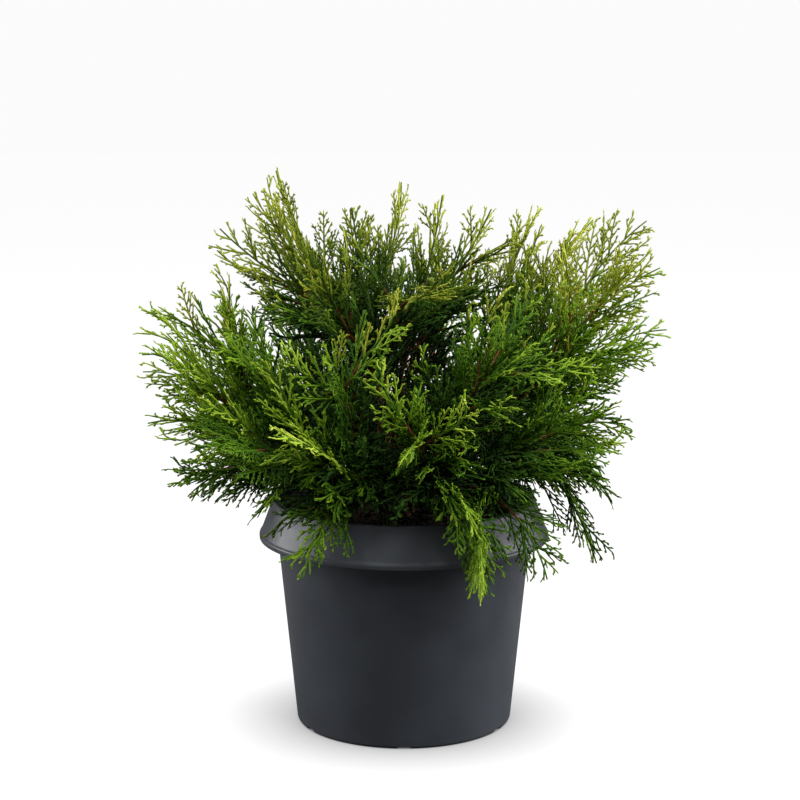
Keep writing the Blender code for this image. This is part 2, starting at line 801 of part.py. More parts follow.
def is_sound(mesh, volume):
    """True if the mesh is closed, faces outwards and has most of this volume."""
    shape = bmesh.new()
    shape.from_mesh(mesh)
    shape.normal_update()
    bmesh.ops.triangulate(shape, faces=shape.faces)
    before = len(shape.verts)
    bmesh.ops.remove_doubles(shape, verts=shape.verts, dist=WELD)
    sound = all(e.is_manifold for e in shape.edges) and all(v.is_manifold for v in shape.verts)
    sound = sound and before == len(shape.verts)
    sound = sound and shape.calc_volume(signed=True) > volume * SOUND_SHARE
    shape.free()
    return sound


def volume_of(mesh):
    shape = bmesh.new()
    shape.from_mesh(mesh)
    volume = shape.calc_volume()
    shape.free()
    return volume


def union(stem, pieces, solver):
    """The stem and the pieces as one mesh, by one Boolean union on a collection."""
    obj = bpy.data.objects.new("stem", stem)
    bpy.context.scene.collection.objects.link(obj)
    group = bpy.data.collections.new("pieces")
    bpy.context.scene.collection.children.link(group)
    for i, mesh in enumerate(pieces):
        group.objects.link(bpy.data.objects.new(f"piece_{i}", mesh))
    fuse = obj.modifiers.new("fuse", "BOOLEAN")
    fuse.operation = "UNION"
    fuse.operand_type = "COLLECTION"
    fuse.collection = group
    fuse.solver = solver
    mesh = evaluated_mesh(obj)
    for piece in list(group.objects):
        bpy.data.objects.remove(piece)
    bpy.data.collections.remove(group)
    bpy.data.objects.remove(obj)
    keep_largest(mesh)
    return mesh


def grow(spaces, sprays, side, tip):
    """Places the tip blades first, then the side twigs of all sprays in turn, root to tip."""
    grown = []
    for index, spray in enumerate(sprays):
        twigs, roll = spray_twigs(spray, index)
        last = tip_twig(spray, roll)
        spaces.standing[spray.name].append(space_of(last, tip[0]))
        grown.append((last, twigs))
    kept = [[] for _ in sprays]
    for rank in range(max(len(twigs) for _, twigs in grown)):
        for spray, (_, twigs), own in zip(sprays, grown, kept):
            if rank < len(twigs):
                placed = place_twig(spaces, spray, twigs[rank], *side)
                if placed:
                    own.append(placed)
    return [(last, own) for (last, _), own in zip(grown, kept)]


def blade_at(blade, twig):
    mesh = blade.copy()
    mesh.transform(twig.matrix())
    return mesh


def build_spray(spray, last, kept, side, tip, collection):
    """Fuses a spray, with a twig fewer each time the union doesn't come out sound."""
    while True:
        pieces = [blade_at(tip[0], last)] + [blade_at(side[0], twig) for twig in kept]
        stem = stem_mesh(spray)
        volume = volume_of(stem) + sum(volume_of(piece) for piece in pieces)
        for solver in SOLVERS:
            mesh = union(stem, pieces, solver)
            if is_sound(mesh, volume):
                mesh.name = spray.name
                return link(bpy.data.objects.new(spray.name, mesh), collection, spray.tier)
        if kept:
            kept = kept[:-1]
        last = Twig(last.start, last.out, last.lateral, last.length * LAST_SHORTENING)


def main():
    clear_scene()
    scene = bpy.context.scene
    plant = new_collection("potted_siberian_cypress", scene.collection)
    helpers = new_collection("helpers", scene.collection)
    build_pot(plant, helpers)
    build_soil(plant)
    build_trunk(plant)
    boughs, sprays = lay_out_sprays(lay_out_boughs())
    for bough in boughs:
        limb(bough.name, bough.points, bough.radii(), BOUGH_RESOLUTION, plant)
    side = blade_template(SIDE_TEETH, SIDE_STALK)
    tip = blade_template(TIP_TEETH, TIP_STALK)
    grown = grow(Spaces(sprays, boughs), sprays, side, tip)
    for spray, (last, kept) in zip(sprays, grown):
        build_spray(spray, last, kept, side, tip, plant)


main()
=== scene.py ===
"""Looks of the potted Siberian cypress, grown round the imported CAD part. Metres, +Z up.

The limbs and sprays are laid out by the source's rule, written again here, and carried
on to finer twigs: stems bear side plumes, plumes bear shoots, shoots bear branchlets.
"""

import math
import random
from collections import namedtuple
from dataclasses import dataclass, field, fields

import bmesh
import bpy
import numpy as np
from mathutils import Matrix, Vector
from mathutils.kdtree import KDTree

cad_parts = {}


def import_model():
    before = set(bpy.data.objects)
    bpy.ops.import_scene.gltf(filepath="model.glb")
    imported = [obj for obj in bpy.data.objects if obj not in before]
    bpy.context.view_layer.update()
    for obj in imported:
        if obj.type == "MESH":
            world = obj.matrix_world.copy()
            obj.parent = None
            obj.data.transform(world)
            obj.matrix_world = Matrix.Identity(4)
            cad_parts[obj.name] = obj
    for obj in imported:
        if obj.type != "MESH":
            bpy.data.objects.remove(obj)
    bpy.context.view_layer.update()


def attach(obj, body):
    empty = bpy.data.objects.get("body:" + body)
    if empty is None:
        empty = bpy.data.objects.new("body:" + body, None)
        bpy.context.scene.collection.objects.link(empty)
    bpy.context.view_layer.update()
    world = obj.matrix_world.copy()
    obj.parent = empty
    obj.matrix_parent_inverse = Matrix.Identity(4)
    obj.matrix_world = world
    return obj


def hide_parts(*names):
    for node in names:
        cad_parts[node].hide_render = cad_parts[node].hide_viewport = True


SEED = 11
# What the seed is multiplied by for each step that draws random numbers.
STREAMS = {
    "twigs": 1000,
    "plumes": 2000,
    "fillers": 3000,
    "outer stems": 4000,
    "inner stems": 4001,
    "finer plumes": 5000,
    "spray": 7000,
    "bough": 9000,
}
UP = Vector((0.0, 0.0, 1.0))

# ------------ values of the source

GAP = 0.0003  # clearance between solids that meet
HANDLE_SHARE = 0.36  # length of a curve's handles, as a share of its span
NEARLY_UPRIGHT = 0.15  # below this a direction has too little slope to tell what is up

POT_HEIGHT = 0.150
WALL = 0.0018
FLOOR_THICKNESS = 0.003
FOOT_RADIUS = 0.0713
RIM_EDGE_RADIUS = 0.0955
RIM_EDGE_Z = 0.1235
SHOULDER_RADIUS = 0.0868
SHOULDER_Z = 0.1475
BODY_TOP_RADIUS = 0.0856
BODY_TOP_Z = 0.1440
LIP_RADIUS = 0.0822
LIP_LEVEL = 0.0030
RIM_BEAD = 0.0010
RIM_HOLLOW = 0.0004
FOOT_ROUND = 0.0012
FOOT_ROUND_HEIGHT = 0.0015
DRAIN_HOLES = 6
DRAIN_HOLE_RADIUS = 0.0050
DRAIN_RING_RADIUS = 0.0500
CHANNEL_WIDTH = 0.009
CHANNEL_DEPTH = 0.0022
CHANNEL_LENGTH = 0.020
SOIL_Z = 0.1370
SOIL_CROWN = 0.0020

TRUNK_FOOT = Vector((-0.004, -0.006, SOIL_Z + SOIL_CROWN + GAP))
TRUNK_TOP = Vector((-0.009, -0.003, 0.1740))
TRUNK_RINGS = ((0.0, 0.0125), (0.10, 0.0102), (0.25, 0.0086), (0.5, 0.0078), (1.0, 0.0072))

SECTORS = 10
LOW_LEVEL_Z = 0.1535
HIGH_LEVEL_Z = 0.1640
LEADERS = 3
LEADER_AZIMUTH = 150.0
LEADER_OFFSET = 0.0038
LEADER_RISE = 84.0
BOUGH_RADIUS = 0.0030
BOUGH_TIP_RADIUS = 0.0022
BOUGH_SHARE = 0.30
BOUGH_RINGS = 5
BOUGH_RISE = 12.0
COLLAR = 0.0022
TAPER_GAP = 0.0002

STEM_POINTS = 24
STEM_START = (0.55, 0.35, 0.25)  # pull of the bough, of the tip and of the tier's rise
FORK_OFFSET = 0.0022
TWIG_FROM, TWIG_TO = 0.14, 0.78
TWIG_ANGLE = 38.0
TWIG_REACH = 0.56
TWIG_SHORTENING = 0.44
ROLL_SPREAD = 55.0
SIDE_SPREAD = 32.0
LEAN_SPREAD = 7.0
PLANE_SPREAD = 40.0
REACH_SPREAD = (0.88, 1.08)
INTERLEAVING = 0.020

# One row per spray: azimuth, reach from the pot's axis and height of the tip over the
# pot in millimetres, pitch at the tip. Light is how bright a green the tier has, and it is
# painted light and shade: lower for the skirt that hangs under the crown, lowest for
# the tier inside it.
TIERS = {
    "leader": {
        "rise": 78.0,
        "leafage": 1.0,
        "twigs": 5,
        "light": 0.66,
        "sprays": (
            (151, 97, 211, 75), (163, 104, 197, 58), (176, 120, 176, 45), (130, 54, 187, 75),
            (92, 50, 203, 82), (58, 48, 195, 75), (26, 64, 187, 62), (268, 52, 160, 58),
            (222, 85, 150, 45),
        ),
    },
    "upper": {
        "rise": 52.0,
        "leafage": 1.0,
        "twigs": 5,
        "light": 0.68,
        "sprays": (
            (179, 166, 122, 6), (130, 128, 152, 42), (78, 122, 152, 42), (38, 118, 183, 44),
            (20, 134, 178, 42), (7, 160, 180, 36), (346, 166, 156, 26), (306, 130, 118, 15),
            (247, 128, 112, 12), (213, 142, 110, 8),
        ),
    },
    "spread": {
        "rise": 36.0,
        "leafage": 1.05,
        "twigs": 5,
        "light": 0.66,
        "sprays": (
            (2, 172, 110, 2), (30, 170, 70, -12), (62, 170, 66, -8), (96, 170, 70, -6),
            (128, 170, 60, -10), (156, 170, 70, -8), (182, 170, 84, -4), (193, 168, 56, -10),
            (212, 156, 46, -18), (238, 150, 50, -22), (272, 150, 56, -22), (334, 158, 58, -20),
        ),
    },
    "skirt": {
        "rise": 26.0,
        "leafage": 1.25,
        "twigs": 5,
        "light": 0.52,
        "sprays": (
            (202, 148, 12, -44), (240, 124, -28, -74), (294, 122, -38, -76),
            (316, 124, -34, -72), (343, 130, -36, -72), (20, 146, 4, -52), (76, 142, -6, -56),
            (138, 142, -4, -56),
        ),
    },
    "inner": {
        "rise": 20.0,
        "leafage": 1.9,
        "twigs": 4,
        # painted shade: the tier inside the crown gets the darkest greens
        "light": 0.30,
        "sprays": (
            (222, 104, 34, -10), (258, 100, 26, -14), (308, 104, 32, -8), (50, 104, 36, -5),
            (112, 104, 34, -5),
        ),
    },
}

# ------------ values of the pot and wood

RIPPLE_WAVES = 14
RIPPLE_SPREAD = (0.6, 1.7)
SHOULDER_TURN = (0.0010, 0.0020)  # the rim's face starts this far out and down from it
RIM_TURN = (0.0012, 0.0046)  # and ends this far in and up from the rim's lower edge
RIM_EDGE_LEVEL = 0.0034  # height of the rim's upright lower edge
BEAD_HEIGHT = 0.0040
CREASE = 0.0022  # how far under the body's top the rim's inside meets it
CORNER_ROUND = 0.0011
CORNER_STEPS = 4
CORNER_LIMIT = 0.45  # a corner takes at most this share of the edges that meet in it
POT_SEGMENTS = 128
HOLE_SIDES = 32
SHARP_ANGLE = 32.0
MERGE_DISTANCE = 0.00001

SOIL_RINGS, SOIL_SEGMENTS = 46, 150
RING_POWER = 0.8  # rings stand closer towards the edge
SOIL_SLOPE_RADIUS = 0.06
SOIL_RIPPLES = ((0.0007, 0.0060, 3), (0.0005, 0.0022, 4))  # height, width and seed
CRUMBS = 900
CRUMB_SEED = 16
CRUMB_SIZE = (0.0006, 0.0020)
CRUMB_STRETCH = (0.6, 1.4)
CRUMB_ROUGHNESS = (0.75, 1.2)
CRUMB_MARGIN = 0.003
CHIP_SHARE = 0.25
CHIP_FORM = (1.9, 1.1, 0.35)
SUNK_SHARE = 0.35  # a crumb's middle lies this share of its radius over the soil

TRUNK_STEPS, TRUNK_SIDES, TRUNK_SEED = 90, 96, 21
BOUGH_STEPS, BOUGH_SIDES, BOUGH_SEED = 44, 18, 40
TRUNK_RELIEF, TRUNK_ROOM = 0.00055, 0.0004  # the bark's relief, and how far in it starts
BOUGH_RELIEF, BOUGH_ROOM = 0.00025, 0.0001
FLARE_STEPS, FLARE_SHARE = 9, 0.1  # the trunk bends from upright to its lean within these
BARK_RADIUS = 0.006  # the pattern of ridges is laid out round this radius
BARK_STRETCH = 0.22  # and changes this much slower along it than round it
RIDGE_WIDTH, WRINKLE_WIDTH = 0.0011, 0.0004
RIDGE_LEVEL, WRINKLE_SHARE = 0.6, 0.4
RELIEF_FADE = 0.03  # share of a limb's length at its ends without full relief

# ------------ values of the foliage

FINE_PITCH = 0.0069  # side plumes stand this far apart along a stem
FINE_FROM, FINE_TO = 0.05, 0.96
FINE_JITTER = (0.2, 0.8)  # where in its own stretch of the stem a plume starts
FINE_ANGLE = 31.0
FINE_LEAN_SPREAD = 8.0
FINE_SIDE_SPREAD = 10.0
FINE_TILT_SPREAD = 14.0
FINE_REACH_SPREAD = (0.50, 0.90)
SHORTEST_PLUME = 0.006
SWEEP = 0.26  # how strongly a side plume bends on towards its stem's tip
SHORTENED = (1.0, 0.85, 0.7, 0.55, 0.4)  # lengths tried until a twig keeps to its space

# Finer stems that fork from the sprays' stems and fill the crown: how many, how deep
# their tips lie as shares of the crown's reach, and the shortest of them.
OUTER_STEMS = (245, (0.68, 0.95), 0.066)
INNER_STEMS = (140, (0.36, 0.70), 0.040)
HEART = Vector((-0.006, -0.004, 0.172))  # where the finer stems' headings start
GOLDEN_ANGLE = 137.508
LOWEST_HEADING = -12.0
HEADING_SPREAD = 0.07
SHELL_BLUR = 13.0  # degrees
TURN_COST = 0.07  # metres of detour that a fork at right angles is worth
FORK_SHARES = (0.03, 0.12, 0.22, 0.32, 0.42, 0.52, 0.62)
FINE_STEM_START = (0.7, 0.8)  # pull of the stem that bears it, and of the tip
FINE_STEM_POINTS = 18
FINE_STEM_END = (0.6, 0.8)  # pull of the heading, and of up or down
TURNS_UP = 0.12  # headings above this end in a rising tip
TURN_SPREAD = 0.25
HANG = -0.9  # the others end downwards, a little less strongly
SIDEWAYS = 0.7
FINE_ROLL_SPREAD = 28.0
TONE_SPREAD = 0.10
TIP_ROOM = 0.010  # a tip with less room than this is raised over the rim
RAISED_TIP = (0.014, 0.030)  # by this much

# Plumes that stand out against the rest: azimuth, reach and height over the pot of the
# tip, azimuth and pitch at which it arrives, how much brighter than its spray it is in
# hundredths, and its least length. Lengths are millimetres. The brightness is partly
# painted light and shade: plumes deep inside the crown are mostly darker than their
# sprays, outer ones brighter.
SHOW_STEMS = (
    (240, 144, 120, 255, 59, 10, 64), (235, 155, 109, 223, 18, 14, 70),
    (223, 170, 61, 201, -5, 17, 84), (222, 165, 81, 202, 14, 14, 74),
    (264, 138, 112, 274, 63, 8, 64), (242, 164, 69, 197, 15, 18, 90),
    (267, 116, 151, 237, 60, 14, 70), (281, 118, 167, 304, 66, 12, 76),
    (301, 124, 151, 339, 32, 12, 80), (284, 142, 90, 222, 53, 16, 64),
    (294, 148, 92, 284, 58, 14, 64), (288, 152, -29, 300, -78, 20, 110),
    (286, 150, 6, 292, -66, 18, 80), (320, 154, 111, 325, 53, 12, 70),
    (302, 138, 121, 298, 60, 6, 64), (284, 124, 12, 289, -52, 2, 54),
    (248, 136, 25, 222, -25, 2, 54), (239, 140, 51, 221, 24, 6, 54),
    (250, 137, 38, 247, -51, 6, 54), (233, 80, 169, 315, 50, 6, 62),
    (180, 171, 124, 178, 14, 10, 80), (181, 173, 109, 186, -4, 8, 80),
    (190, 170, 99, 195, -10, 8, 70), (192, 150, 92, 184, 10, 10, 58),
    (184, 118, 126, 190, 40, 2, 50), (200, 120, 118, 205, 45, 4, 50),
    (196, 106, 128, 200, 55, 0, 50), (188, 100, 112, 185, 35, -6, 45),
    (172, 104, 122, 176, 40, -6, 45), (352, 70, 150, 350, 60, -4, 45),
    (338, 120, 150, 350, 40, 8, 58), (325, 100, 148, 10, 55, 4, 58),
    (352, 140, 34, 345, -30, 4, 58), (342, 140, 6, 340, -62, 0, 64),
    (200, 156, 18, 204, -36, 4, 50), (176, 124, 150, 180, 42, 4, 60),
    (184, 124, 137, 186, 28, 2, 55), (178, 104, 142, 180, 50, -2, 50),
    (168, 126, 160, 172, 46, 4, 60), (181, 132, 120, 180, 14, 0, 50),
    (176, 118, 114, 180, 20, -4, 45), (186, 86, 108, 190, 45, -8, 40),
    (192, 96, 100, 200, 20, -8, 40), (350, 62, 128, 0, 50, -8, 40),
    (10, 58, 135, 20, 60, -8, 40), (330, 66, 120, 340, 55, -6, 40),
    (342, 56, 138, 350, 70, -4, 40), (163, 94, 208, 140, 80, 4, 58),
    (346, 160, 166, 0, 40, 4, 58), (0, 72, 174, 40, 60, 0, 50), (348, 86, 168, 10, 50, 2, 50),
    (20, 84, 176, 20, 52, 0, 50), (230, 40, 178, 350, 60, 0, 50), (140, 30, 184, 20, 66, 0, 50),
    (45, 63, 116, 44, 61, -12, 52), (105, 52, 127, 118, 68, -12, 52),
    (163, 102, 106, 151, 49, -12, 52), (315, 43, 159, 296, 70, 4, 52),
    (331, 62, 156, 319, 64, 0, 52), (283, 56, 146, 259, 70, -2, 52),
    (323, 92, 139, 329, 50, 2, 52), (298, 85, 140, 300, 67, 6, 52),
    (266, 20, 160, 251, 72, -2, 52), (23, 50, 113, 74, 72, -10, 45),
    (345, 39, 112, 231, 49, -8, 40), (0, 23, 119, 117, 62, -10, 40),
    (180, 64, 120, 70, 63, -10, 45), (180, 86, 114, 119, 62, -8, 45),
    (221, 110, -9, 234, -61, -6, 50), (244, 120, -13, 285, -68, -4, 50),
    (214, 108, 6, 221, -49, -5, 45), (249, 120, 10, 264, -62, -6, 45),
    (298, 113, -34, 291, -70, -8, 55), (304, 115, -19, 306, -62, -8, 50),
    (291, 120, -6, 293, -67, -5, 50), (252, 105, 18, 248, -59, -5, 45),
    (267, 100, 16, 279, -62, -5, 45), (278, 101, 16, 265, -60, -6, 45),
    (5, 80, 70, 60, 55, -10, 45), (350, 75, 58, 300, 40, -10, 45),
    (175, 80, 66, 120, 50, -10, 45), (188, 75, 58, 240, 40, -10, 45),
)
SHOW_LEAFAGE = 1.15
SHOW_STEM_PULL = 0.4
FACING_SHARE = 0.6  # place along the stem at which its fan faces outwards

# Clearances of twigs from the pot and the trunk.
WALL_ROOM = 0.002
RIM_ROOM = 0.0016
RIM_TOP_ROOM = 0.0012
SOIL_ROOM = 0.0015
GROUND_ROOM = 0.002
TRUNK_KEEP_OUT = 0.0095
TRUNK_TOP_ROOM = 0.001
TRUNK_MIDDLE = 0.4  # from its top down to its foot
CHECKED_SHARES = (0.4, 0.7, 1.0)  # places on a shoot that have to be clear

# Small plumes on each bare bough, which close the crown's inside.
FILLERS = 11
FILLER_FROM, FILLER_SPAN = 0.15, 0.83
FILLER_LEAN = (35, 65)
FILLER_LENGTH = (0.034, 0.062)
FILLER_PLACE = 0.3  # they are as dark as plumes this far along a stem
# painted shade: the fillers inside the crown get dark greens
FILLER_LIGHT = 0.34

# painted shade: the hidden plumes inside the crown get dark greens
HIDDEN_LIGHT = 0.30
HIDDEN_LEAFAGE = 1.1
HIDDEN_STREAM = 500  # keeps the hidden plumes' random numbers apart
FINER_LEAFAGE = 0.9
LIGHT_SPREAD = 0.08

PLUME_RADIUS = 0.00080
PLUME_CURL = 0.03
PLUME_RISE, PLUME_SAG = 0.02, 0.10  # dark plumes sag more
# Plumes grow lighter towards a stem's tip: partly their own new growth, partly painted light.
PLUME_SHADE = (0.86, 0.30, 0.4)  # base, gain along the stem, and where it is nil
PLUME_SHADE_SPREAD = 0.04
WOODY_PLUME = 0.045  # plumes longer than this have a woody root
WOODY_SHARE = 0.26
STEM_TIP_RADIUS = 0.0005
STEM_TAPER = 0.75  # radius halfway, as a share of that at the root
SPRAY_STEM = {"radius": 0.00117, "woody": 0.55, "count": 40, "sides": 6}
FINER_STEM = {"radius": 0.0010, "woody": 0.35, "count": 11, "sides": 4}

# How shoots stand on what bears them.
SHOOT_JITTER = (0.15, 0.85)
SHOOT_LEAN_SPREAD = 6
SHOOT_LIFT_SPREAD = 8
SHOOT_TWIST_SPREAD = 10
SHOOT_TAPER = 0.85
SHOOT_RUN_IN = (0.50, 2.4)  # share of the full length at the root, and its gain
SHOOT_REACH_SPREAD = (0.72, 1.12)
SHORTEST_SPREAD = (0.8, 1.25)
SHOOT_CURL = (0.16, 0.36)
SHOOT_CURL_SPREAD = 0.05
SHOOT_SAG = 0.03
# Shoots grow lighter along their bearer: partly their own new growth, partly painted light.
SHOOT_SHADE = (0.12, 0.35, 0.025)  # gain along the bearer, where it is nil, and spread

PIECE_FULL = 163400  # triangles above which a tier goes on in another piece
# Painted shade of the crown's inside: greens darken towards this centre, over shares of this size, down to
# DEEP_SHADE of their brightness.
CROWN_CENTRE = np.array((0.0, 0.0, 0.205))
CROWN_SIZE = np.array((0.172, 0.165, 0.160))
DEEP, DEPTH_SPAN = 0.30, 0.62  # shares of the crown's size over which shade fades
DEEP_SHADE = 0.30  # what is left of a green's brightness deep inside
SHADE_PLACE = 0.6  # place on a shoot that tells its shade
SHADE_SPREAD = 0.04
HIDDEN_DEPTH = 0.12  # deeper than this only some branchlets are made
HIDDEN_SHARE = 0.35

# Greens from the deep inside of the crown to the lime tips, as screen colours. Which step a
# shoot gets is partly its own tone and partly painted light and shade.
GREENS = (
    (0.060, 0.115, 0.022),
    (0.102, 0.192, 0.026),
    (0.160, 0.278, 0.034),
    (0.240, 0.366, 0.045),
    (0.335, 0.458, 0.066),
    (0.440, 0.550, 0.110),
    (0.530, 0.620, 0.170),
    (0.610, 0.680, 0.240),
)
# The same steps for the plumes that stand high, against the sky, and have olive tips.
OLIVES = (
    (0.060, 0.112, 0.022),
    (0.104, 0.186, 0.028),
    (0.172, 0.268, 0.038),
    (0.270, 0.352, 0.052),
    (0.385, 0.440, 0.082),
    (0.490, 0.525, 0.135),
    (0.585, 0.610, 0.205),
    (0.675, 0.690, 0.290),
)
OLIVE_FROM = 0.280  # height of a plume's tip above which it is olive
OLIVE_SPREAD = 0.012
LEAF_ROUGHNESS, LEAF_SPECULAR = 0.62, 0.10
WOOD = 2 * len(GREENS)  # the slot after both rows of greens

# Materials whose colour and relief follow one noise: colour, roughness, specular level,
# the noise, the colours that it runs through, and the relief's strength and depth.
GRAINY = {
    "peat": (
        (0.16, 0.11, 0.08),
        0.95,
        0.2,
        {"scale": 420.0, "detail": 8.0, "roughness": 0.7},
        ((0.25, (0.075, 0.050, 0.035)), (0.55, (0.170, 0.118, 0.082)), (0.78, (0.290, 0.215, 0.150))),
        (0.9, 0.0012),
    ),
    "bark": (
        (0.42, 0.25, 0.16),
        0.86,
        0.25,
        {"scale": 260.0, "detail": 7.0, "roughness": 0.65, "stretch": 0.22},
        ((0.28, (0.190, 0.105, 0.065)), (0.5, (0.415, 0.235, 0.140)), (0.75, (0.590, 0.410, 0.270))),
        (0.8, 0.0006),
    ),
    "twig_bark": (
        (0.36, 0.19, 0.10),
        0.75,
        0.2,
        {"scale": 500.0, "detail": 4.0},
        ((0.3, (0.250, 0.125, 0.065)), (0.7, (0.460, 0.260, 0.140))),
        (0.5, 0.0004),
    ),
}

# ------------ values of light and camera

BACKDROP_SEEN, BACKDROP_LIGHT = 0.97, 0.18  # the backdrop lights the plant less than it shows
FLOOR_SEEN, FLOOR_LIGHT = 0.95, 0.0
FLOOR_HALF = 6.0
FLOOR_GREY, FLOOR_ROUGHNESS = (0.25, 0.25, 0.25), 0.9
WHITE = (1.0, 1.0, 1.0, 1.0)
CONTACT_SHADOW = 0.06  # how near the floor the pot has to be to darken it
# Name, place, the point it shines at, its size and its power.
LIGHTS = (
    ("key", (0.95, -1.15, 1.5), (0, 0, 0.22), 0.8, 34.0),
    ("front left", (-0.8, -1.2, 1.7), (0, 0, 0.22), 1.1, 18.0),
    ("top", (0.0, 0.5, 1.9), (0, 0, 0.25), 1.0, 34.0),
    ("side", (1.6, -0.5, 0.9), (0, 0, 0.2), 0.9, 14.0),
    ("left edge", (-1.6, 0.2, 0.4), (0, 0, 0.15), 1.4, 46.0),
    ("right edge", (1.5, 0.3, 0.4), (0, 0, 0.15), 1.4, 40.0),
)
SENSOR_WIDTH = 36.0
FOCAL_LENGTH, PHOTO_WIDTH = 2137, 800  # in pixels
CAMERA_TARGET = Vector((-0.0026, 0.0, 0.2144))
CAMERA_PITCH = -10.1
CAMERA_DISTANCE = 1.4
CLIP_START = 0.05


# ------------ small helpers


def linear(colour):
    """A screen colour as the linear one that a shader wants."""
    return tuple(c / 12.92 if c <= 0.04045 else ((c + 0.055) / 1.055) ** 2.4 for c in colour)


def seed_for(step, index=0):
    """The seed of one step's random numbers."""
    return SEED * STREAMS[step] + index


def direction(azimuth, pitch):
    """The unit direction with this azimuth and this pitch over the level, in degrees."""
    a, p = math.radians(azimuth), math.radians(pitch)
    return Vector((math.cos(a) * math.cos(p), math.sin(a) * math.cos(p), math.sin(p)))


def tip_at(azimuth, reach, height):
    """A tip's place from its azimuth, reach and height over the pot in millimetres."""
    return direction(azimuth, 0.0) * (reach / 1000) + Vector((0.0, 0.0, POT_HEIGHT + height / 1000))


def square_to(axis, way):
    """The unit direction square to the axis that is nearest to this way."""
    return (way - axis * way.dot(axis)).normalized()


def bezier(start, out, end, arriving, count, part=1.0):
    """Points on the first part of the cubic that leaves start along out, and arrives at end."""
    handle = (end - start).length * HANDLE_SHARE
    a, b = start + out * handle, end - arriving * handle
    points = []
    for i in range(count):
        t = part * i / (count - 1)
        s = 1 - t
        points.append(start * s**3 + a * (3 * s * s * t) + b * (3 * s * t * t) + end * t**3)
    return points


def point_at(points, share):
    """The point, and the unit tangent, this share of the way along a run of points."""
    place = min(max(share, 0.0), 1.0) * (len(points) - 1)
    i = min(int(place), len(points) - 2)
    step = points[i + 1] - points[i]
    return points[i] + step * (place - i), step.normalized()


def angle_between(a, b):
    """The angle between two azimuths, from 0 to 180 degrees."""
    return abs((a - b + 180) % 360 - 180)


def lateral_at(tangent, roll):
    """The direction across a stem: upright at roll 0, and turned round the stem by roll."""
    up = UP - tangent * tangent.z
    if up.length < NEARLY_UPRIGHT:
        up = Vector((1.0, 0.0, 0.0)) - tangent * tangent.x
    up.normalize()
    return up * math.cos(roll) + tangent.cross(up) * math.sin(roll)


def unit(rows):
    """The rows, each at unit length."""
    return rows / np.maximum(np.linalg.norm(rows, axis=-1, keepdims=True), 1e-12)


def across_from(rows, tangent):
    """The rows' part square to the tangents, at unit length."""
    return unit(rows - tangent * (rows * tangent).sum(-1, keepdims=True))


def ripple(points, scale, seed):
    """Smooth noise between about -1 and 1: waves of random direction and phase."""
    dice = np.random.default_rng(seed)
    total = np.zeros(len(points))
    for _ in range(RIPPLE_WAVES):
        heading = unit(dice.normal(size=3)) * dice.uniform(*RIPPLE_SPREAD) / scale
        total += np.sin(points @ heading + dice.uniform(0, math.tau))
    return total / math.sqrt(RIPPLE_WAVES)


def new_object(name, data):
    """A new object for this data, linked into the scene."""
    obj = bpy.data.objects.new(name, data)
    bpy.context.scene.collection.objects.link(obj)
    return obj


# ------------ limbs, by the source's rule


def trunk_at(z):
    """Centre and radius of the trunk at this height."""
    share = (z - TRUNK_FOOT.z) / (TRUNK_TOP.z - TRUNK_FOOT.z)
    return TRUNK_FOOT.lerp(TRUNK_TOP, share), float(np.interp(share, *zip(*TRUNK_RINGS)))


@dataclass
class Bough:
    """A bare limb from the trunk to the fork where its sprays start."""

    name: str
    start: Vector
    out: Vector
    rise: float
    azimuth: float
    sprays: list = field(default_factory=list)
    points: list = field(default_factory=list)

    def shape(self):
        tips = [spray.tip for spray in self.sprays]
        middle = sum(tips, Vector()) / len(tips)
        arriving = sum((spray.end for spray in self.sprays), Vector()).normalized()
        leaving = (self.out + direction(self.azimuth, self.rise)).normalized()
        collar = self.start + self.out * COLLAR
        bare = bezier(collar, leaving, middle, arriving, BOUGH_RINGS, BOUGH_SHARE)
        self.points = [self.start] + bare


class Spray:
    """A mass of foliage: where its tip is, and the stem that leads to it."""

    def __init__(self, name, tier, row):
        azimuth, reach, height, pitch = row
        self.name = name
        self.tier = tier
        self.azimuth = azimuth
        self.tip = tip_at(azimuth, reach, height)
        self.end = direction(azimuth, pitch)
        self.points = []

    def shape(self, bough, offset):
        tangent = (bough.points[-1] - bough.points[-2]).normalized()
        start = bough.points[-1] + tangent * GAP + offset
        rise = direction(self.azimuth, TIERS[self.tier]["rise"])
        aims = (tangent, (self.tip - start).normalized(), rise)
        out = sum((aim * pull for aim, pull in zip(aims, STEM_START)), Vector()).normalized()
        self.points = [start] + bezier(start + tangent * COLLAR, out, self.tip, self.end, STEM_POINTS)


def lay_out_boughs():
    """Spokes leave the trunk square to its side, and leaders square to its top."""
    boughs = []
    axis = (TRUNK_TOP - TRUNK_FOOT).normalized()
    for i in range(SECTORS):
        azimuth = 360.0 * i / SECTORS
        out = square_to(axis, direction(azimuth, 0.0))
        centre, radius = trunk_at(LOW_LEVEL_Z if i % 2 else HIGH_LEVEL_Z)
        start = centre + out * (radius + GAP + TAPER_GAP)
        boughs.append(Bough(f"bough_{i + 1:02d}", start, out, BOUGH_RISE, azimuth))
    for i in range(LEADERS):
        azimuth = (LEADER_AZIMUTH + 360.0 * i / LEADERS) % 360
        beside = square_to(axis, direction(azimuth, 0.0))
        start = TRUNK_TOP + beside * LEADER_OFFSET + axis * GAP
        boughs.append(Bough(f"leader_{i + 1}", start, axis, LEADER_RISE, azimuth))
    return boughs


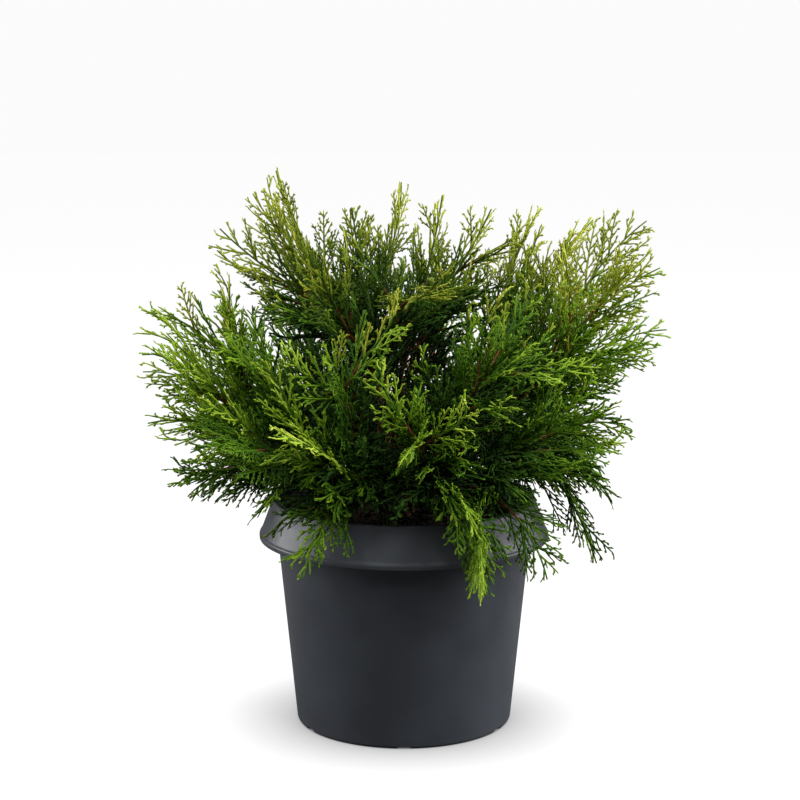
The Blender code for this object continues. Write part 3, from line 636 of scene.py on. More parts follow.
def place_fork(bough):
    """Starts the sprays side by side on the bough's end, each on the side it grows to."""
    tangent = (bough.points[-1] - bough.points[-2]).normalized()
    across = tangent.orthogonal().normalized()
    upward = tangent.cross(across)

    def bearing(spray):
        away = spray.tip - bough.points[-1]
        return math.atan2(away.dot(upward), away.dot(across))

    order = sorted(bough.sprays, key=bearing)
    step = math.tau / len(order)
    turns = [bearing(spray) - step * i for i, spray in enumerate(order)]
    first = math.atan2(sum(map(math.sin, turns)), sum(map(math.cos, turns)))
    for i, spray in enumerate(order):
        angle = first + step * i
        offset = (across * math.cos(angle) + upward * math.sin(angle)) * FORK_OFFSET
        spray.shape(bough, offset if len(order) > 1 else Vector())


def lay_out_sprays(boughs):
    """Gives each spray to the bough nearest its azimuth, and shapes every limb."""
    sprays = []
    for tier, habit in TIERS.items():
        for i, row in enumerate(habit["sprays"]):
            sprays.append(Spray(f"foliage_{tier}_{i + 1:02d}", tier, row))
    spokes, leaders = boughs[:SECTORS], boughs[SECTORS:]
    for spray in sprays:
        among = leaders if spray.tier == "leader" else spokes
        nearest = min(among, key=lambda b: angle_between(b.azimuth, spray.azimuth))
        nearest.sprays.append(spray)
    used = [bough for bough in boughs if bough.sprays]
    for bough in used:
        bough.shape()
        place_fork(bough)
    return used, sprays


@dataclass
class Twig:
    """A side plume's axis: where it starts, which way it goes, its plane and its shade."""

    start: Vector
    out: Vector
    lateral: Vector
    length: float
    share: float
    tone: float = 0.0
    bend: Vector = (0.0, 0.0, 0.0)

    def tip(self, share=1.0):
        return self.start + self.out * (self.length * share)


def fork_at(points, share, side, lean):
    """Start of a side twig, the stem's tangent, the side it is on, and its direction."""
    place, tangent = point_at(points, share)
    lateral = lateral_at(tangent, side)
    return place, tangent, lateral, tangent * math.cos(lean) + lateral * math.sin(lean)


def spray_twigs(spray, index):
    """The source's twigs: they alternate along the stem, shorter towards its tip."""
    dice = random.Random(seed_for("twigs", index))

    def turn(spread):
        return math.radians(dice.uniform(-spread, spread))

    length = (spray.tip - spray.points[0]).length
    roll = turn(ROLL_SPREAD)
    habit = TIERS[spray.tier]
    count = habit["twigs"]
    twigs = []
    for i in range(count):
        share = TWIG_FROM + (TWIG_TO - TWIG_FROM) * i / (count - 1)
        side = roll + math.pi * (i % 2) + turn(SIDE_SPREAD)
        lean = math.radians(TWIG_ANGLE + dice.uniform(-LEAN_SPREAD, LEAN_SPREAD))
        place, _, _, out = fork_at(spray.points, share, side, lean)
        reach = length * (TWIG_REACH - TWIG_SHORTENING * share) * habit["leafage"]
        plane = lateral_at(out, side + turn(PLANE_SPREAD))
        twigs.append(Twig(place, out, plane, reach * dice.uniform(*REACH_SPREAD), share))
    return twigs, roll


def finer_twigs(points, leafage, roll, dice, tone=0.0):
    """The scene's own plumes along a stem, by the same rule."""
    length = (points[-1] - points[0]).length
    count = round(length * (FINE_TO - FINE_FROM) / FINE_PITCH)
    twigs = []
    for i in range(count):
        share = FINE_FROM + (FINE_TO - FINE_FROM) * (i + dice.uniform(*FINE_JITTER)) / count
        side = roll + math.pi * (i % 2) + math.radians(dice.gauss(0, FINE_SIDE_SPREAD))
        lean = math.radians(FINE_ANGLE + dice.uniform(-FINE_LEAN_SPREAD, FINE_LEAN_SPREAD))
        place, tangent, lateral, out = fork_at(points, share, side, lean)
        reach = length * (TWIG_REACH - TWIG_SHORTENING * share) * leafage
        reach = min(reach * dice.uniform(*FINE_REACH_SPREAD), length * (1.0 - share))
        plane = lateral * math.cos(lean) - tangent * math.sin(lean)
        plane += out.cross(plane) * math.tan(math.radians(dice.gauss(0, FINE_TILT_SPREAD)))
        reach = max(reach, SHORTEST_PLUME)
        twigs.append(Twig(place, out, plane, reach, share, tone, tangent * SWEEP))
    return twigs


def shell_reach(heading, sprays):
    """How far the crown reaches this way from its heart, going by the tips round about."""
    total = weights = 0.0
    for spray in sprays:
        away = spray.tip - HEART
        apart = math.degrees(away.angle(heading))
        weight = math.exp(-((apart / SHELL_BLUR) ** 2) / 2)
        total += weight * away.length
        weights += weight
    return total / weights


def even_headings(count):
    """Directions spread evenly over the crown, from below the level up to the top."""
    lowest = math.sin(math.radians(LOWEST_HEADING))
    for i in range(count):
        height = lowest + (1.0 - lowest) * (i + 0.5) / count
        yield direction(i * GOLDEN_ANGLE, math.degrees(math.asin(height)))


def best_fork(tip, sprays, shortest):
    """The stem and the place on it from which a finer stem reaches this tip most directly."""
    best = None
    for spray in sprays:
        for share in FORK_SHARES:
            place, tangent = point_at(spray.points, share)
            way = tip - place
            if way.length < shortest:
                continue
            cost = way.length + TURN_COST * (1 - tangent.dot(way.normalized()))
            if best is None or cost < best[0]:
                best = (cost, spray, place, tangent)
    return best[1:]


def finer_stems(sprays, count, depth, shortest, seed):
    """Stems of the scene's own that fill the crown, each forking from a spray's stem.

    They end along the crown's surface: high ones turn up, low ones hang.
    """
    dice = random.Random(seed)
    stems = {spray.name: [] for spray in sprays}
    for heading in even_headings(count):
        heading = (heading + Vector([dice.gauss(0, HEADING_SPREAD) for _ in range(3)])).normalized()
        tip = HEART + heading * (shell_reach(heading, sprays) * dice.uniform(*depth))
        if not is_clear(tip - UP * TIP_ROOM):
            tip.z = POT_HEIGHT + dice.uniform(*RAISED_TIP)
        spray, place, tangent = best_fork(tip, sprays, shortest)
        stem_pull, tip_pull = FINE_STEM_START
        out = (tangent * stem_pull + (tip - place).normalized() * tip_pull).normalized()
        rises = heading.z + dice.uniform(-TURN_SPREAD, TURN_SPREAD) > TURNS_UP
        beside = heading.cross(UP) * dice.uniform(-SIDEWAYS, SIDEWAYS)
        heading_pull, upward_pull = FINE_STEM_END
        arriving = heading * heading_pull + UP * (1.0 if rises else HANG) * upward_pull + beside
        points = bezier(place, out, tip, arriving.normalized(), FINE_STEM_POINTS)
        roll = math.radians(90 + dice.gauss(0, FINE_ROLL_SPREAD))
        stems[spray.name].append((points, roll, dice.gauss(0, TONE_SPREAD), 1.0))
    return stems


def show_stems(sprays, stems):
    """Adds the plumes that stand out, each a flat fan that faces away from the crown."""
    for azimuth, reach, height, to_azimuth, to_pitch, tone, shortest in SHOW_STEMS:
        tip = tip_at(azimuth, reach, height)
        spray, place, tangent = best_fork(tip, sprays, shortest / 1000)
        arriving = direction(to_azimuth, to_pitch)
        out = (tangent * SHOW_STEM_PULL + (tip - place).normalized()).normalized()
        points = bezier(place, out, tip, arriving, FINE_STEM_POINTS)
        middle = point_at(points, FACING_SHARE)[1]
        facing = middle.cross((tip - HEART).normalized())
        upright = lateral_at(middle, 0.0)
        roll = math.atan2(facing.dot(middle.cross(upright)), facing.dot(upright))
        stems[spray.name].append((points, roll, tone / 100, SHOW_LEAFAGE))


# ------------ spaces


class Spaces:
    """The space of every spray, as in the source."""

    def __init__(self, sprays):
        self.owners = []
        self.stems = KDTree(sum(len(spray.points) for spray in sprays))
        for spray in sprays:
            for point in spray.points:
                self.stems.insert(point, len(self.owners))
                self.owners.append(spray.name)
        self.stems.balance()

    def holds(self, name, point):
        own = self.stems.find(point, filter=lambda i: self.owners[i] == name)[2]
        other = self.stems.find(point, filter=lambda i: self.owners[i] != name)[2]
        return own - other < INTERLEAVING

    def fitted(self, name, twig):
        """The twig, shortened until its tip is within the spray's space and off the pot."""
        for share in SHORTENED:
            tip = twig.tip(share)
            if self.holds(name, tip) and is_clear(tip):
                twig.length *= share
                return twig
        return None


def clear_of_pot(points):
    """True for each point that is clear of the pot, the soil and the trunk."""
    radius = np.linalg.norm(points[:, :2], axis=1)
    inside = radius < BODY_TOP_RADIUS - WALL - WALL_ROOM
    over_rim = ~inside & (radius < RIM_EDGE_RADIUS + RIM_ROOM)
    floor = np.where(inside, SOIL_Z + SOIL_CROWN + SOIL_ROOM, GROUND_ROOM)
    floor = np.where(over_rim, POT_HEIGHT + RIM_TOP_ROOM, floor)
    middle = np.array(TRUNK_TOP.lerp(TRUNK_FOOT, TRUNK_MIDDLE).xy)
    beside = np.linalg.norm(points[:, :2] - middle, axis=1) > TRUNK_KEEP_OUT
    return (points[:, 2] > floor) & (beside | (points[:, 2] > TRUNK_TOP.z + TRUNK_TOP_ROOM))


def is_clear(point):
    return clear_of_pot(np.array([point]))[0]


# ------------ shoots


@dataclass
class Shoots:
    """Many curved shoots at once, one row each: root + length * (out * s + curl * s * s)."""

    root: np.ndarray
    out: np.ndarray
    curl: np.ndarray
    across: np.ndarray
    length: np.ndarray
    width: np.ndarray
    shade: np.ndarray
    palette: np.ndarray

    def __post_init__(self):
        self.out = unit(self.out)

    def __len__(self):
        return len(self.length)

    def rows(self, chosen):
        return Shoots(*(getattr(self, column.name)[chosen] for column in fields(self)))

    def point(self, share):
        s = share[..., None]
        return self.root[:, None] + self.length[:, None, None] * (
            self.out[:, None] * s + self.curl[:, None] * s * s
        )

    def point_at(self, share):
        """One point of every shoot, at the same share of its length."""
        return self.point(np.full((len(self), 1), share))[:, 0]

    def tangent(self, share):
        return unit(self.out[:, None] + 2 * self.curl[:, None] * share[..., None])

    def off_pot(self):
        """The shoots that touch neither pot, soil nor trunk."""
        clear = np.ones(len(self), bool)
        for share in CHECKED_SHARES:
            clear &= clear_of_pot(self.point_at(share))
        return self.rows(clear)


# A spindle: places and relative widths of its rings, its sides, and how flat it is.
Form = namedtuple("Form", "shares profile sides flatness")
# How far apart, from where to where and at what angle shoots stand on their bearer, their
# reach as a share of its length, and their least length, their width and their form.
Habit = namedtuple("Habit", "pitch first last angle reach shortest width form")

PLUME = Form((0.0, 0.30, 0.62, 0.93), (1.10, 1.0, 0.86, 0.62), sides=3, flatness=0.9)
SHOOTS = Habit(
    pitch=0.0032, first=0.06, last=0.94, angle=33.0, reach=0.52, shortest=0.0034, width=0.00064,
    form=Form((0.12, 0.50, 0.92), (0.90, 1.00, 0.72), sides=3, flatness=0.62),
)
BRANCHLETS = Habit(
    pitch=0.0023, first=0.14, last=0.88, angle=29.0, reach=0.42, shortest=0.0024, width=0.00068,
    form=Form((0.64,), (1.0,), sides=4, flatness=0.62),
)
# Shoots of the crown's inside, whose dark greens are painted shade.
DARK_SHOOTS = Habit(
    pitch=0.0032, first=0.06, last=0.98, angle=37.0, reach=0.55, shortest=0.0060, width=0.00110,
    form=Form((0.64,), (1.0,), sides=4, flatness=0.4),
)


def depth_shade(points):
    """From 0 deep inside the crown to 1 at its outside; it sets how much painted shade a green gets."""
    out = np.linalg.norm((points - CROWN_CENTRE) / CROWN_SIZE, axis=1)
    share = np.clip((out - DEEP) / DEPTH_SPAN, 0.0, 1.0)
    return share * share * (3 - 2 * share)


def branch(parent, habit, dice):
    """Shoots that alternate along each parent in its plane, shorter towards its tip."""
    span = habit.last - habit.first
    count = np.maximum((parent.length * span / habit.pitch).astype(int), 1)
    of = np.repeat(np.arange(len(parent)), count)
    rank = np.arange(count.sum()) - np.repeat(np.cumsum(count) - count, count)
    total = len(of)
    share = habit.first + span * (rank + dice.uniform(*SHOOT_JITTER, total)) / count[of]
    bearers = parent.rows(of)
    root = bearers.point(share[:, None])[:, 0]
    tangent = bearers.tangent(share[:, None])[:, 0]
    across = across_from(bearers.across, tangent)
    normal = np.cross(tangent, across)
    side = np.where((rank + of) % 2 == 0, 1.0, -1.0)[:, None]
    lean = habit.angle + dice.uniform(-SHOOT_LEAN_SPREAD, SHOOT_LEAN_SPREAD, total)
    lean = np.radians(lean)[:, None]
    lift = np.tan(np.radians(dice.normal(0, SHOOT_LIFT_SPREAD, total)))[:, None]
    out = unit(tangent * np.cos(lean) + across * side * np.sin(lean) + normal * lift)
    plane = across_from(across * np.cos(lean) - tangent * side * np.sin(lean), out)
    twist = np.radians(dice.normal(0, SHOOT_TWIST_SPREAD, total))[:, None]
    plane = plane * np.cos(twist) + np.cross(out, plane) * np.sin(twist)
    least, gain = SHOOT_RUN_IN
    envelope = (1 - share) ** SHOOT_TAPER * np.minimum(1.0, least + gain * share)
    length = bearers.length * habit.reach * envelope * dice.uniform(*SHOOT_REACH_SPREAD, total)
    length = np.maximum(length, habit.shortest * dice.uniform(*SHORTEST_SPREAD, total))
    curl = tangent * dice.uniform(*SHOOT_CURL, (total, 1))
    curl = curl + normal * dice.normal(0, SHOOT_CURL_SPREAD, (total, 1))
    curl[:, 2] -= SHOOT_SAG
    gain, neutral, spread = SHOOT_SHADE
    shade = bearers.shade + gain * (share - neutral) + dice.normal(0, spread, total)
    width = np.full(total, habit.width)
    return Shoots(root, out, curl, plane, length, width, shade, bearers.palette).off_pot()


# ------------ meshes from arrays


class Joined:
    """Corners and faces of many equal parts, gathered into one mesh."""

    def __init__(self):
        self.corners = []
        self.loops = []
        self.sizes = []
        self.slots = []
        self.count = 0

    def add(self, corners, faces, slots=None):
        """corners: parts x points x 3; faces: one part's polygons; slots: parts x faces."""
        parts, points = corners.shape[:2]
        if parts == 0:
            return
        flat = np.concatenate([np.array(face) for face in faces])
        start = self.count + np.arange(parts) * points
        self.corners.append(corners.reshape(-1, 3))
        self.loops.append((flat[None] + start[:, None]).ravel())
        self.sizes.append(np.tile([len(face) for face in faces], parts))
        self.slots.append(np.zeros(parts * len(faces)) if slots is None else slots.ravel())
        self.count += parts * points

    def triangles(self):
        return int(sum((sizes - 2).sum() for sizes in self.sizes))

    def build(self, name, materials):
        """The parts as one object with these materials."""
        corners = np.concatenate(self.corners)
        whole = (self.loops, self.sizes, self.slots)
        loops, sizes, slots = (np.concatenate(rows).astype(np.int32) for rows in whole)
        mesh = bpy.data.meshes.new(name)
        mesh.vertices.add(len(corners))
        mesh.vertices.foreach_set("co", corners.astype(np.float32).ravel())
        mesh.loops.add(len(loops))
        mesh.loops.foreach_set("vertex_index", loops)
        mesh.polygons.add(len(sizes))
        mesh.polygons.foreach_set("loop_start", (np.cumsum(sizes) - sizes).astype(np.int32))
        mesh.polygons.foreach_set("material_index", slots)
        mesh.polygons.foreach_set("use_smooth", np.ones(len(sizes), bool))
        mesh.update(calc_edges=True)
        for material in materials:
            mesh.materials.append(material)
        return new_object(name, mesh)


def spindle_faces(rings, sides):
    """Faces of a part whose corners are a root point, rings of corners, and a tip point."""
    turns = [(k, (k + 1) % sides) for k in range(sides)]
    faces = [(0, 1 + n, 1 + k) for k, n in turns]
    for r in range(rings - 1):
        low, high = 1 + r * sides, 1 + (r + 1) * sides
        faces += [(low + k, low + n, high + n, high + k) for k, n in turns]
    last, tip = 1 + (rings - 1) * sides, 1 + rings * sides
    return faces + [(last + k, last + n, tip) for k, n in turns]


def spindle_corners(shoots, form):
    """Corners of flattened spindles along the shoots."""
    count = len(shoots)
    share = np.tile(np.asarray(form.shares, float), (count, 1))
    centre = shoots.point(share)
    tangent = shoots.tangent(share)
    across = across_from(np.broadcast_to(shoots.across[:, None], tangent.shape), tangent)
    normal = np.cross(tangent, across)
    half = (shoots.width[:, None] * np.asarray(form.profile)[None])[..., None]
    rings = []
    for k in range(form.sides):
        angle = math.tau * k / form.sides
        around = across * math.cos(angle) + normal * math.sin(angle) * form.flatness
        rings.append(centre + half * around)
    body = np.stack(rings, axis=2).reshape(count, -1, 3)
    root = shoots.point(np.zeros((count, 1)))
    tip = shoots.point(np.ones((count, 1)))
    return np.concatenate([root, body, tip], axis=1)


def green_slots(shoots, dice):
    """Which green each shoot has: its plume's shade, darkened by painted shade deep inside the crown."""
    depth = depth_shade(shoots.point_at(SHADE_PLACE))
    # painted shade deep inside the crown
    shade = shoots.shade * (DEEP_SHADE + (1 - DEEP_SHADE) * depth)
    shade = shade + dice.uniform(-SHADE_SPREAD, SHADE_SPREAD, len(shoots))
    return np.clip((shade * len(GREENS)).astype(int), 0, len(GREENS) - 1) + shoots.palette


def add_spindles(joined, shoots, form, dice):
    """The shoots as spindles, each in its own green."""
    faces = spindle_faces(len(form.shares), form.sides)
    slots = np.broadcast_to(green_slots(shoots, dice)[:, None], (len(shoots), len(faces)))
    joined.add(spindle_corners(shoots, form), faces, slots)


def frames_along(points):
    """Tangent and a lateral direction, carried along without twisting, for each point."""
    lateral = (points[1] - points[0]).orthogonal().normalized()
    rows = []
    for i in range(len(points)):
        before, after = points[max(i - 1, 0)], points[min(i + 1, len(points) - 1)]
        tangent = (after - before).normalized()
        lateral = square_to(tangent, lateral)
        rows.append((tangent, lateral))
    return rows


def tube_rings(points, radii, sides):
    """Rings of corners round the points, as points x sides x 3."""
    angles = math.tau * np.arange(sides) / sides
    rings = []
    for (tangent, lateral), point, radius in zip(frames_along(points), points, radii):
        upward = tangent.cross(lateral)
        around = np.outer(np.cos(angles), lateral) + np.outer(np.sin(angles), upward)
        rings.append(np.array(point)[None] + around * radius)
    return np.array(rings)


def closed(rings, points):
    """The corners of a spindle: the first point, the rings, and the last point."""
    return np.concatenate([[list(points[0])], rings.reshape(-1, 3), [list(points[-1])]])


def resampled(points, count):
    """A smooth run of count points through these points."""
    knots = np.array([list(p) for p in points])
    padded = np.concatenate([[2 * knots[0] - knots[1]], knots, [2 * knots[-1] - knots[-2]]])
    made = []
    for i in range(count):
        place = i / (count - 1) * (len(knots) - 1)
        k = min(int(place), len(knots) - 2)
        t = place - k
        a, b, c, d = padded[k : k + 4]
        square, cube = 2 * a - 5 * b + 4 * c - d, 3 * b - a - 3 * c + d
        made.append(Vector(0.5 * (2 * b + (c - a) * t + square * t * t + cube * t**3)))
    return made


# ------------ materials


class Wiring:
    """Short calls for a node tree. A socket is given a value, or another node's output."""

    def __init__(self, tree):
        self.tree = tree

    def set(self, socket, value):
        if isinstance(value, bpy.types.NodeSocket):
            self.tree.links.new(value, socket)
        else:
            socket.default_value = value

    def node(self, kind, output, **sockets):
        """The named output of a new node whose sockets are given these values."""
        node = self.tree.nodes.new(kind)
        for name, value in sockets.items():
            self.set(node.inputs[name.replace("_", " ")], value)
        return node.outputs[output]

    def spread(self, value, **limits):
        """The value mapped from one range of numbers to another."""
        return self.node("ShaderNodeMapRange", "Result", Value=value, **limits)


class Surface(Wiring):
    """A plain material, with calls for what makes it uneven."""

    def __init__(self, name, colour, roughness, **sockets):
        self.material = bpy.data.materials.new(name)
        self.material.use_nodes = True
        super().__init__(self.material.node_tree)
        self.shader = self.tree.nodes["Principled BSDF"].inputs
        self.shader["Base Color"].default_value = (*linear(colour), 1.0)
        self.shader["Roughness"].default_value = roughness
        for socket, value in sockets.items():
            self.set(self.shader[socket.replace("_", " ")], value)
        self.place = None  # the object's own coordinates, once a noise needs them

    def noise(self, scale, detail, stretch=1.0, roughness=0.55):
        """Noise over the object's own place, slower along Z where stretch is below 1."""
        if not self.place:
            self.place = self.node("ShaderNodeTexCoord", "Object")
        size = (1.0, 1.0, stretch)
        place = self.node("ShaderNodeMapping", "Vector", Vector=self.place, Scale=size)
        grain = {"Scale": scale, "Detail": detail, "Roughness": roughness}
        return self.node("ShaderNodeTexNoise", "Fac", Vector=place, **grain)

    def colours(self, value, stops):
        """Colours the surface by the value, through stops of a position and a colour."""
        node = self.tree.nodes.new("ShaderNodeValToRGB")
        elements = node.color_ramp.elements
        while len(elements) < len(stops):
            elements.new(0.5)
        for element, (position, colour) in zip(elements, stops):
            element.position = position
            element.color = (*linear(colour), 1.0)
        self.set(node.inputs["Fac"], value)
        self.set(self.shader["Base Color"], node.outputs["Color"])

    def relief(self, *heights):
        """Chains one bump per (height, strength, distance)."""
        chained = {}
        for height, strength, distance in heights:
            sockets = {"Height": height, "Strength": strength, "Distance": distance, **chained}
            chained = {"Normal": self.node("ShaderNodeBump", "Normal", **sockets)}
        self.set(self.shader["Normal"], chained["Normal"])


def pot_material():
    """Grey plastic with faint clouds in its colour, uneven wear, and a fine grain."""
    pot = Surface("pot_plastic", (0.175, 0.185, 0.205), 0.36, Specular_IOR_Level=0.18)
    clouds = pot.noise(scale=24.0, detail=5.0)
    pot.colours(clouds, ((0.3, (0.170, 0.180, 0.198)), (0.7, (0.200, 0.212, 0.232))))
    wear = pot.noise(scale=60.0, detail=6.0)
    wear = pot.spread(wear, From_Min=0.3, From_Max=0.7, To_Min=0.30, To_Max=0.40)
    pot.set(pot.shader["Roughness"], wear)
    grain = pot.noise(scale=900.0, detail=2.0)
    pot.relief((grain, 0.10, 0.0002), (clouds, 0.06, 0.002))
    return pot.material


def grainy_material(name):
    """A material whose colour and relief follow one noise."""
    colour, roughness, specular, noise, stops, relief = GRAINY[name]
    surface = Surface(name, colour, roughness, Specular_IOR_Level=specular)
    grain = surface.noise(**noise)
    surface.colours(grain, stops)
    surface.relief((grain, *relief))
    return surface.material


def leaf_materials(name, colours):
    made = []
    for i, colour in enumerate(colours):
        leaf = Surface(f"{name}_{i + 1}", colour, LEAF_ROUGHNESS, Specular_IOR_Level=LEAF_SPECULAR)
        made.append(leaf.material)
    return made


# ------------ pot and soil


def softened(profile):
    """The profile with its corners rounded off."""
    points = [Vector(p) for p in profile]
    smooth = [points[0]]
    for before, corner, after in zip(points, points[1:], points[2:]):
        back, on = before - corner, after - corner
        cut = min(CORNER_ROUND, back.length * CORNER_LIMIT, on.length * CORNER_LIMIT)
        a, b = corner + back.normalized() * cut, corner + on.normalized() * cut
        for i in range(CORNER_STEPS + 1):
            t = i / CORNER_STEPS
            smooth.append(a * (1 - t) ** 2 + corner * (2 * t * (1 - t)) + b * t * t)
    return smooth + [points[-1]]


def wall_radius(z):
    """Outside of the body's wall at this height, going by its taper."""
    return FOOT_RADIUS + (BODY_TOP_RADIUS - FOOT_RADIUS) / BODY_TOP_Z * z


def pot_profile():
    """The wall's section, from the inside floor's centre over the rim to the underside's."""
    skirt_inside = RIM_EDGE_RADIUS - WALL
    face_out, face_down = SHOULDER_TURN
    face_in, face_up = RIM_TURN
    return (
        (0.0, FLOOR_THICKNESS),
        (wall_radius(FLOOR_THICKNESS) - WALL, FLOOR_THICKNESS),
        (BODY_TOP_RADIUS - WALL, BODY_TOP_Z),
        (LIP_RADIUS, POT_HEIGHT - LIP_LEVEL),
        (LIP_RADIUS, POT_HEIGHT),
        (SHOULDER_RADIUS - RIM_HOLLOW, POT_HEIGHT),
        (SHOULDER_RADIUS + face_out, SHOULDER_Z - face_down),
        (RIM_EDGE_RADIUS - face_in, RIM_EDGE_Z + face_up),
        (RIM_EDGE_RADIUS, RIM_EDGE_Z + RIM_EDGE_LEVEL),
        (RIM_EDGE_RADIUS, RIM_EDGE_Z),
        (skirt_inside - RIM_BEAD, RIM_EDGE_Z),
        (skirt_inside - RIM_HOLLOW, RIM_EDGE_Z + BEAD_HEIGHT),
        (SHOULDER_RADIUS + RIM_HOLLOW, BODY_TOP_Z - CREASE),
        (BODY_TOP_RADIUS - RIM_HOLLOW, BODY_TOP_Z - CREASE),
        (FOOT_RADIUS, FOOT_ROUND_HEIGHT),
        (FOOT_RADIUS - FOOT_ROUND, 0.0),
        (0.0, 0.0),
    )


def turned(name, profile):
    """The profile turned round the Z axis."""
    mesh = bpy.data.meshes.new(name)
    points = [(p[0], 0.0, p[1]) for p in profile]
    mesh.from_pydata(points, [(i, i + 1) for i in range(len(points) - 1)], [])
    obj = new_object(name, mesh)
    screw = obj.modifiers.new("turn", "SCREW")
    screw.steps = screw.render_steps = POT_SEGMENTS
    screw.use_merge_vertices = True
    screw.merge_threshold = MERGE_DISTANCE
    screw.use_smooth_shade = True
    return applied(obj)


def drain_cutter():
    """Round holes through the floor, and channels under the edge of the underside."""
    shape = bmesh.new()
    for i in range(DRAIN_HOLES):
        turn = Matrix.Rotation(math.tau * i / DRAIN_HOLES, 4, "Z")
        bmesh.ops.create_cone(
            shape,
            cap_ends=True,
            segments=HOLE_SIDES,
            radius1=DRAIN_HOLE_RADIUS,
            radius2=DRAIN_HOLE_RADIUS,
            depth=FLOOR_THICKNESS * 3,
            matrix=turn @ Matrix.Translation((DRAIN_RING_RADIUS, 0.0, FLOOR_THICKNESS / 2)),
        )
        turn = Matrix.Rotation(math.tau * (i + 0.5) / DRAIN_HOLES, 4, "Z")
        place = turn @ Matrix.Translation((FOOT_RADIUS, 0.0, 0.0))
        size = Matrix.Diagonal((CHANNEL_LENGTH, CHANNEL_WIDTH, CHANNEL_DEPTH * 2, 1.0))
        bmesh.ops.create_cube(shape, size=1.0, matrix=place @ size)
    mesh = bpy.data.meshes.new("drain_cutter")
    shape.to_mesh(mesh)
    shape.free()
    return new_object("drain_cutter", mesh)


def applied(obj):
    """Replaces the object's mesh by its evaluated one and drops its modifiers."""
    bpy.context.view_layer.update()
    graph = bpy.context.evaluated_depsgraph_get()
    mesh = bpy.data.meshes.new_from_object(obj.evaluated_get(graph))
    obj.modifiers.clear()
    obj.data = mesh
    return obj


def build_pot():
    """The turned pot with its drainage cut out, smooth but for its sharp edges."""
    pot = turned("nursery_pot", softened(pot_profile()))
    cutter = drain_cutter()
    drain = pot.modifiers.new("drain", "BOOLEAN")
    drain.operation = "DIFFERENCE"
    drain.object = cutter
    drain.solver = "EXACT"
    applied(pot)
    bpy.data.objects.remove(cutter)
    pot.data.materials.clear()
    pot.data.materials.append(pot_material())
    pot.data.shade_smooth()
    pot.data.set_sharp_from_angle(angle=math.radians(SHARP_ANGLE))
    return pot


def soil_level(radius):
    """Height of the soil's even surface this far from the pot's axis."""
    return SOIL_Z + SOIL_CROWN * np.clip(1 - radius / SOIL_SLOPE_RADIUS, 0, 1)


def build_soil():
    """Peat that fills the pot: a crumbly top on a plain body, and loose crumbs and chips."""
    clearance = WALL + 2 * GAP
    edge = wall_radius(SOIL_Z) - clearance
    radii = edge * (np.arange(1, SOIL_RINGS + 1) / SOIL_RINGS) ** RING_POWER
    angles = math.tau * np.arange(SOIL_SEGMENTS) / SOIL_SEGMENTS
    x = (radii[:, None] * np.cos(angles)).ravel()
    y = (radii[:, None] * np.sin(angles)).ravel()
    height = soil_level(np.hypot(x, y))
    flat = np.stack([x, y, np.zeros_like(x)], axis=1)
    for amount, width, seed in SOIL_RIPPLES:
        height = height + amount * ripple(flat, width, seed)
    bottom_z = FLOOR_THICKNESS + GAP
    foot = wall_radius(bottom_z) - clearance
    level = np.full(SOIL_SEGMENTS, bottom_z)
    under = np.stack([foot * np.cos(angles), foot * np.sin(angles), level], axis=1)
    top_point, bottom_point = (0.0, 0.0, SOIL_Z + SOIL_CROWN), (0.0, 0.0, bottom_z)
    corners = np.concatenate([[top_point], np.stack([x, y, height], axis=1), under, [bottom_point]])
    # The rings run downwards, so every face is turned over.
    faces = [(face[0], *face[:0:-1]) for face in spindle_faces(SOIL_RINGS + 1, SOIL_SEGMENTS)]
    joined = Joined()
    joined.add(corners[None], faces)
    add_crumbs(joined, edge)
    return joined.build("potting_soil", [grainy_material("peat")])


def add_crumbs(joined, edge):
    """Small lumps of peat and flat chips of bark that lie on the soil."""
    dice = np.random.default_rng(CRUMB_SEED)
    lump = bmesh.new()
    bmesh.ops.create_icosphere(lump, subdivisions=1, radius=1.0)
    ball = np.array([vert.co for vert in lump.verts])
    faces = [tuple(vert.index for vert in face.verts) for face in lump.faces]
    lump.free()
    radius = (edge - CRUMB_MARGIN) * np.sqrt(dice.uniform(0.01, 1.0, CRUMBS))
    angle = dice.uniform(0, math.tau, CRUMBS)
    size = dice.uniform(*CRUMB_SIZE, (CRUMBS, 1)) * dice.uniform(*CRUMB_STRETCH, (CRUMBS, 3))
    chip = dice.uniform(size=CRUMBS) < CHIP_SHARE
    size[chip] *= CHIP_FORM
    turn = dice.uniform(0, math.tau, CRUMBS)
    crumbs = ball[None] * size[:, None] * dice.uniform(*CRUMB_ROUGHNESS, (CRUMBS, len(ball), 1))
    c, s = np.cos(turn)[:, None], np.sin(turn)[:, None]
    x = crumbs[..., 0] * c - crumbs[..., 1] * s + (radius * np.cos(angle))[:, None]
    y = crumbs[..., 0] * s + crumbs[..., 1] * c + (radius * np.sin(angle))[:, None]
    z = crumbs[..., 2] + (soil_level(radius) + size[:, 2] * SUNK_SHARE)[:, None]
    joined.add(np.stack([x, y, z], axis=2), faces)


# ------------ trunk and boughs


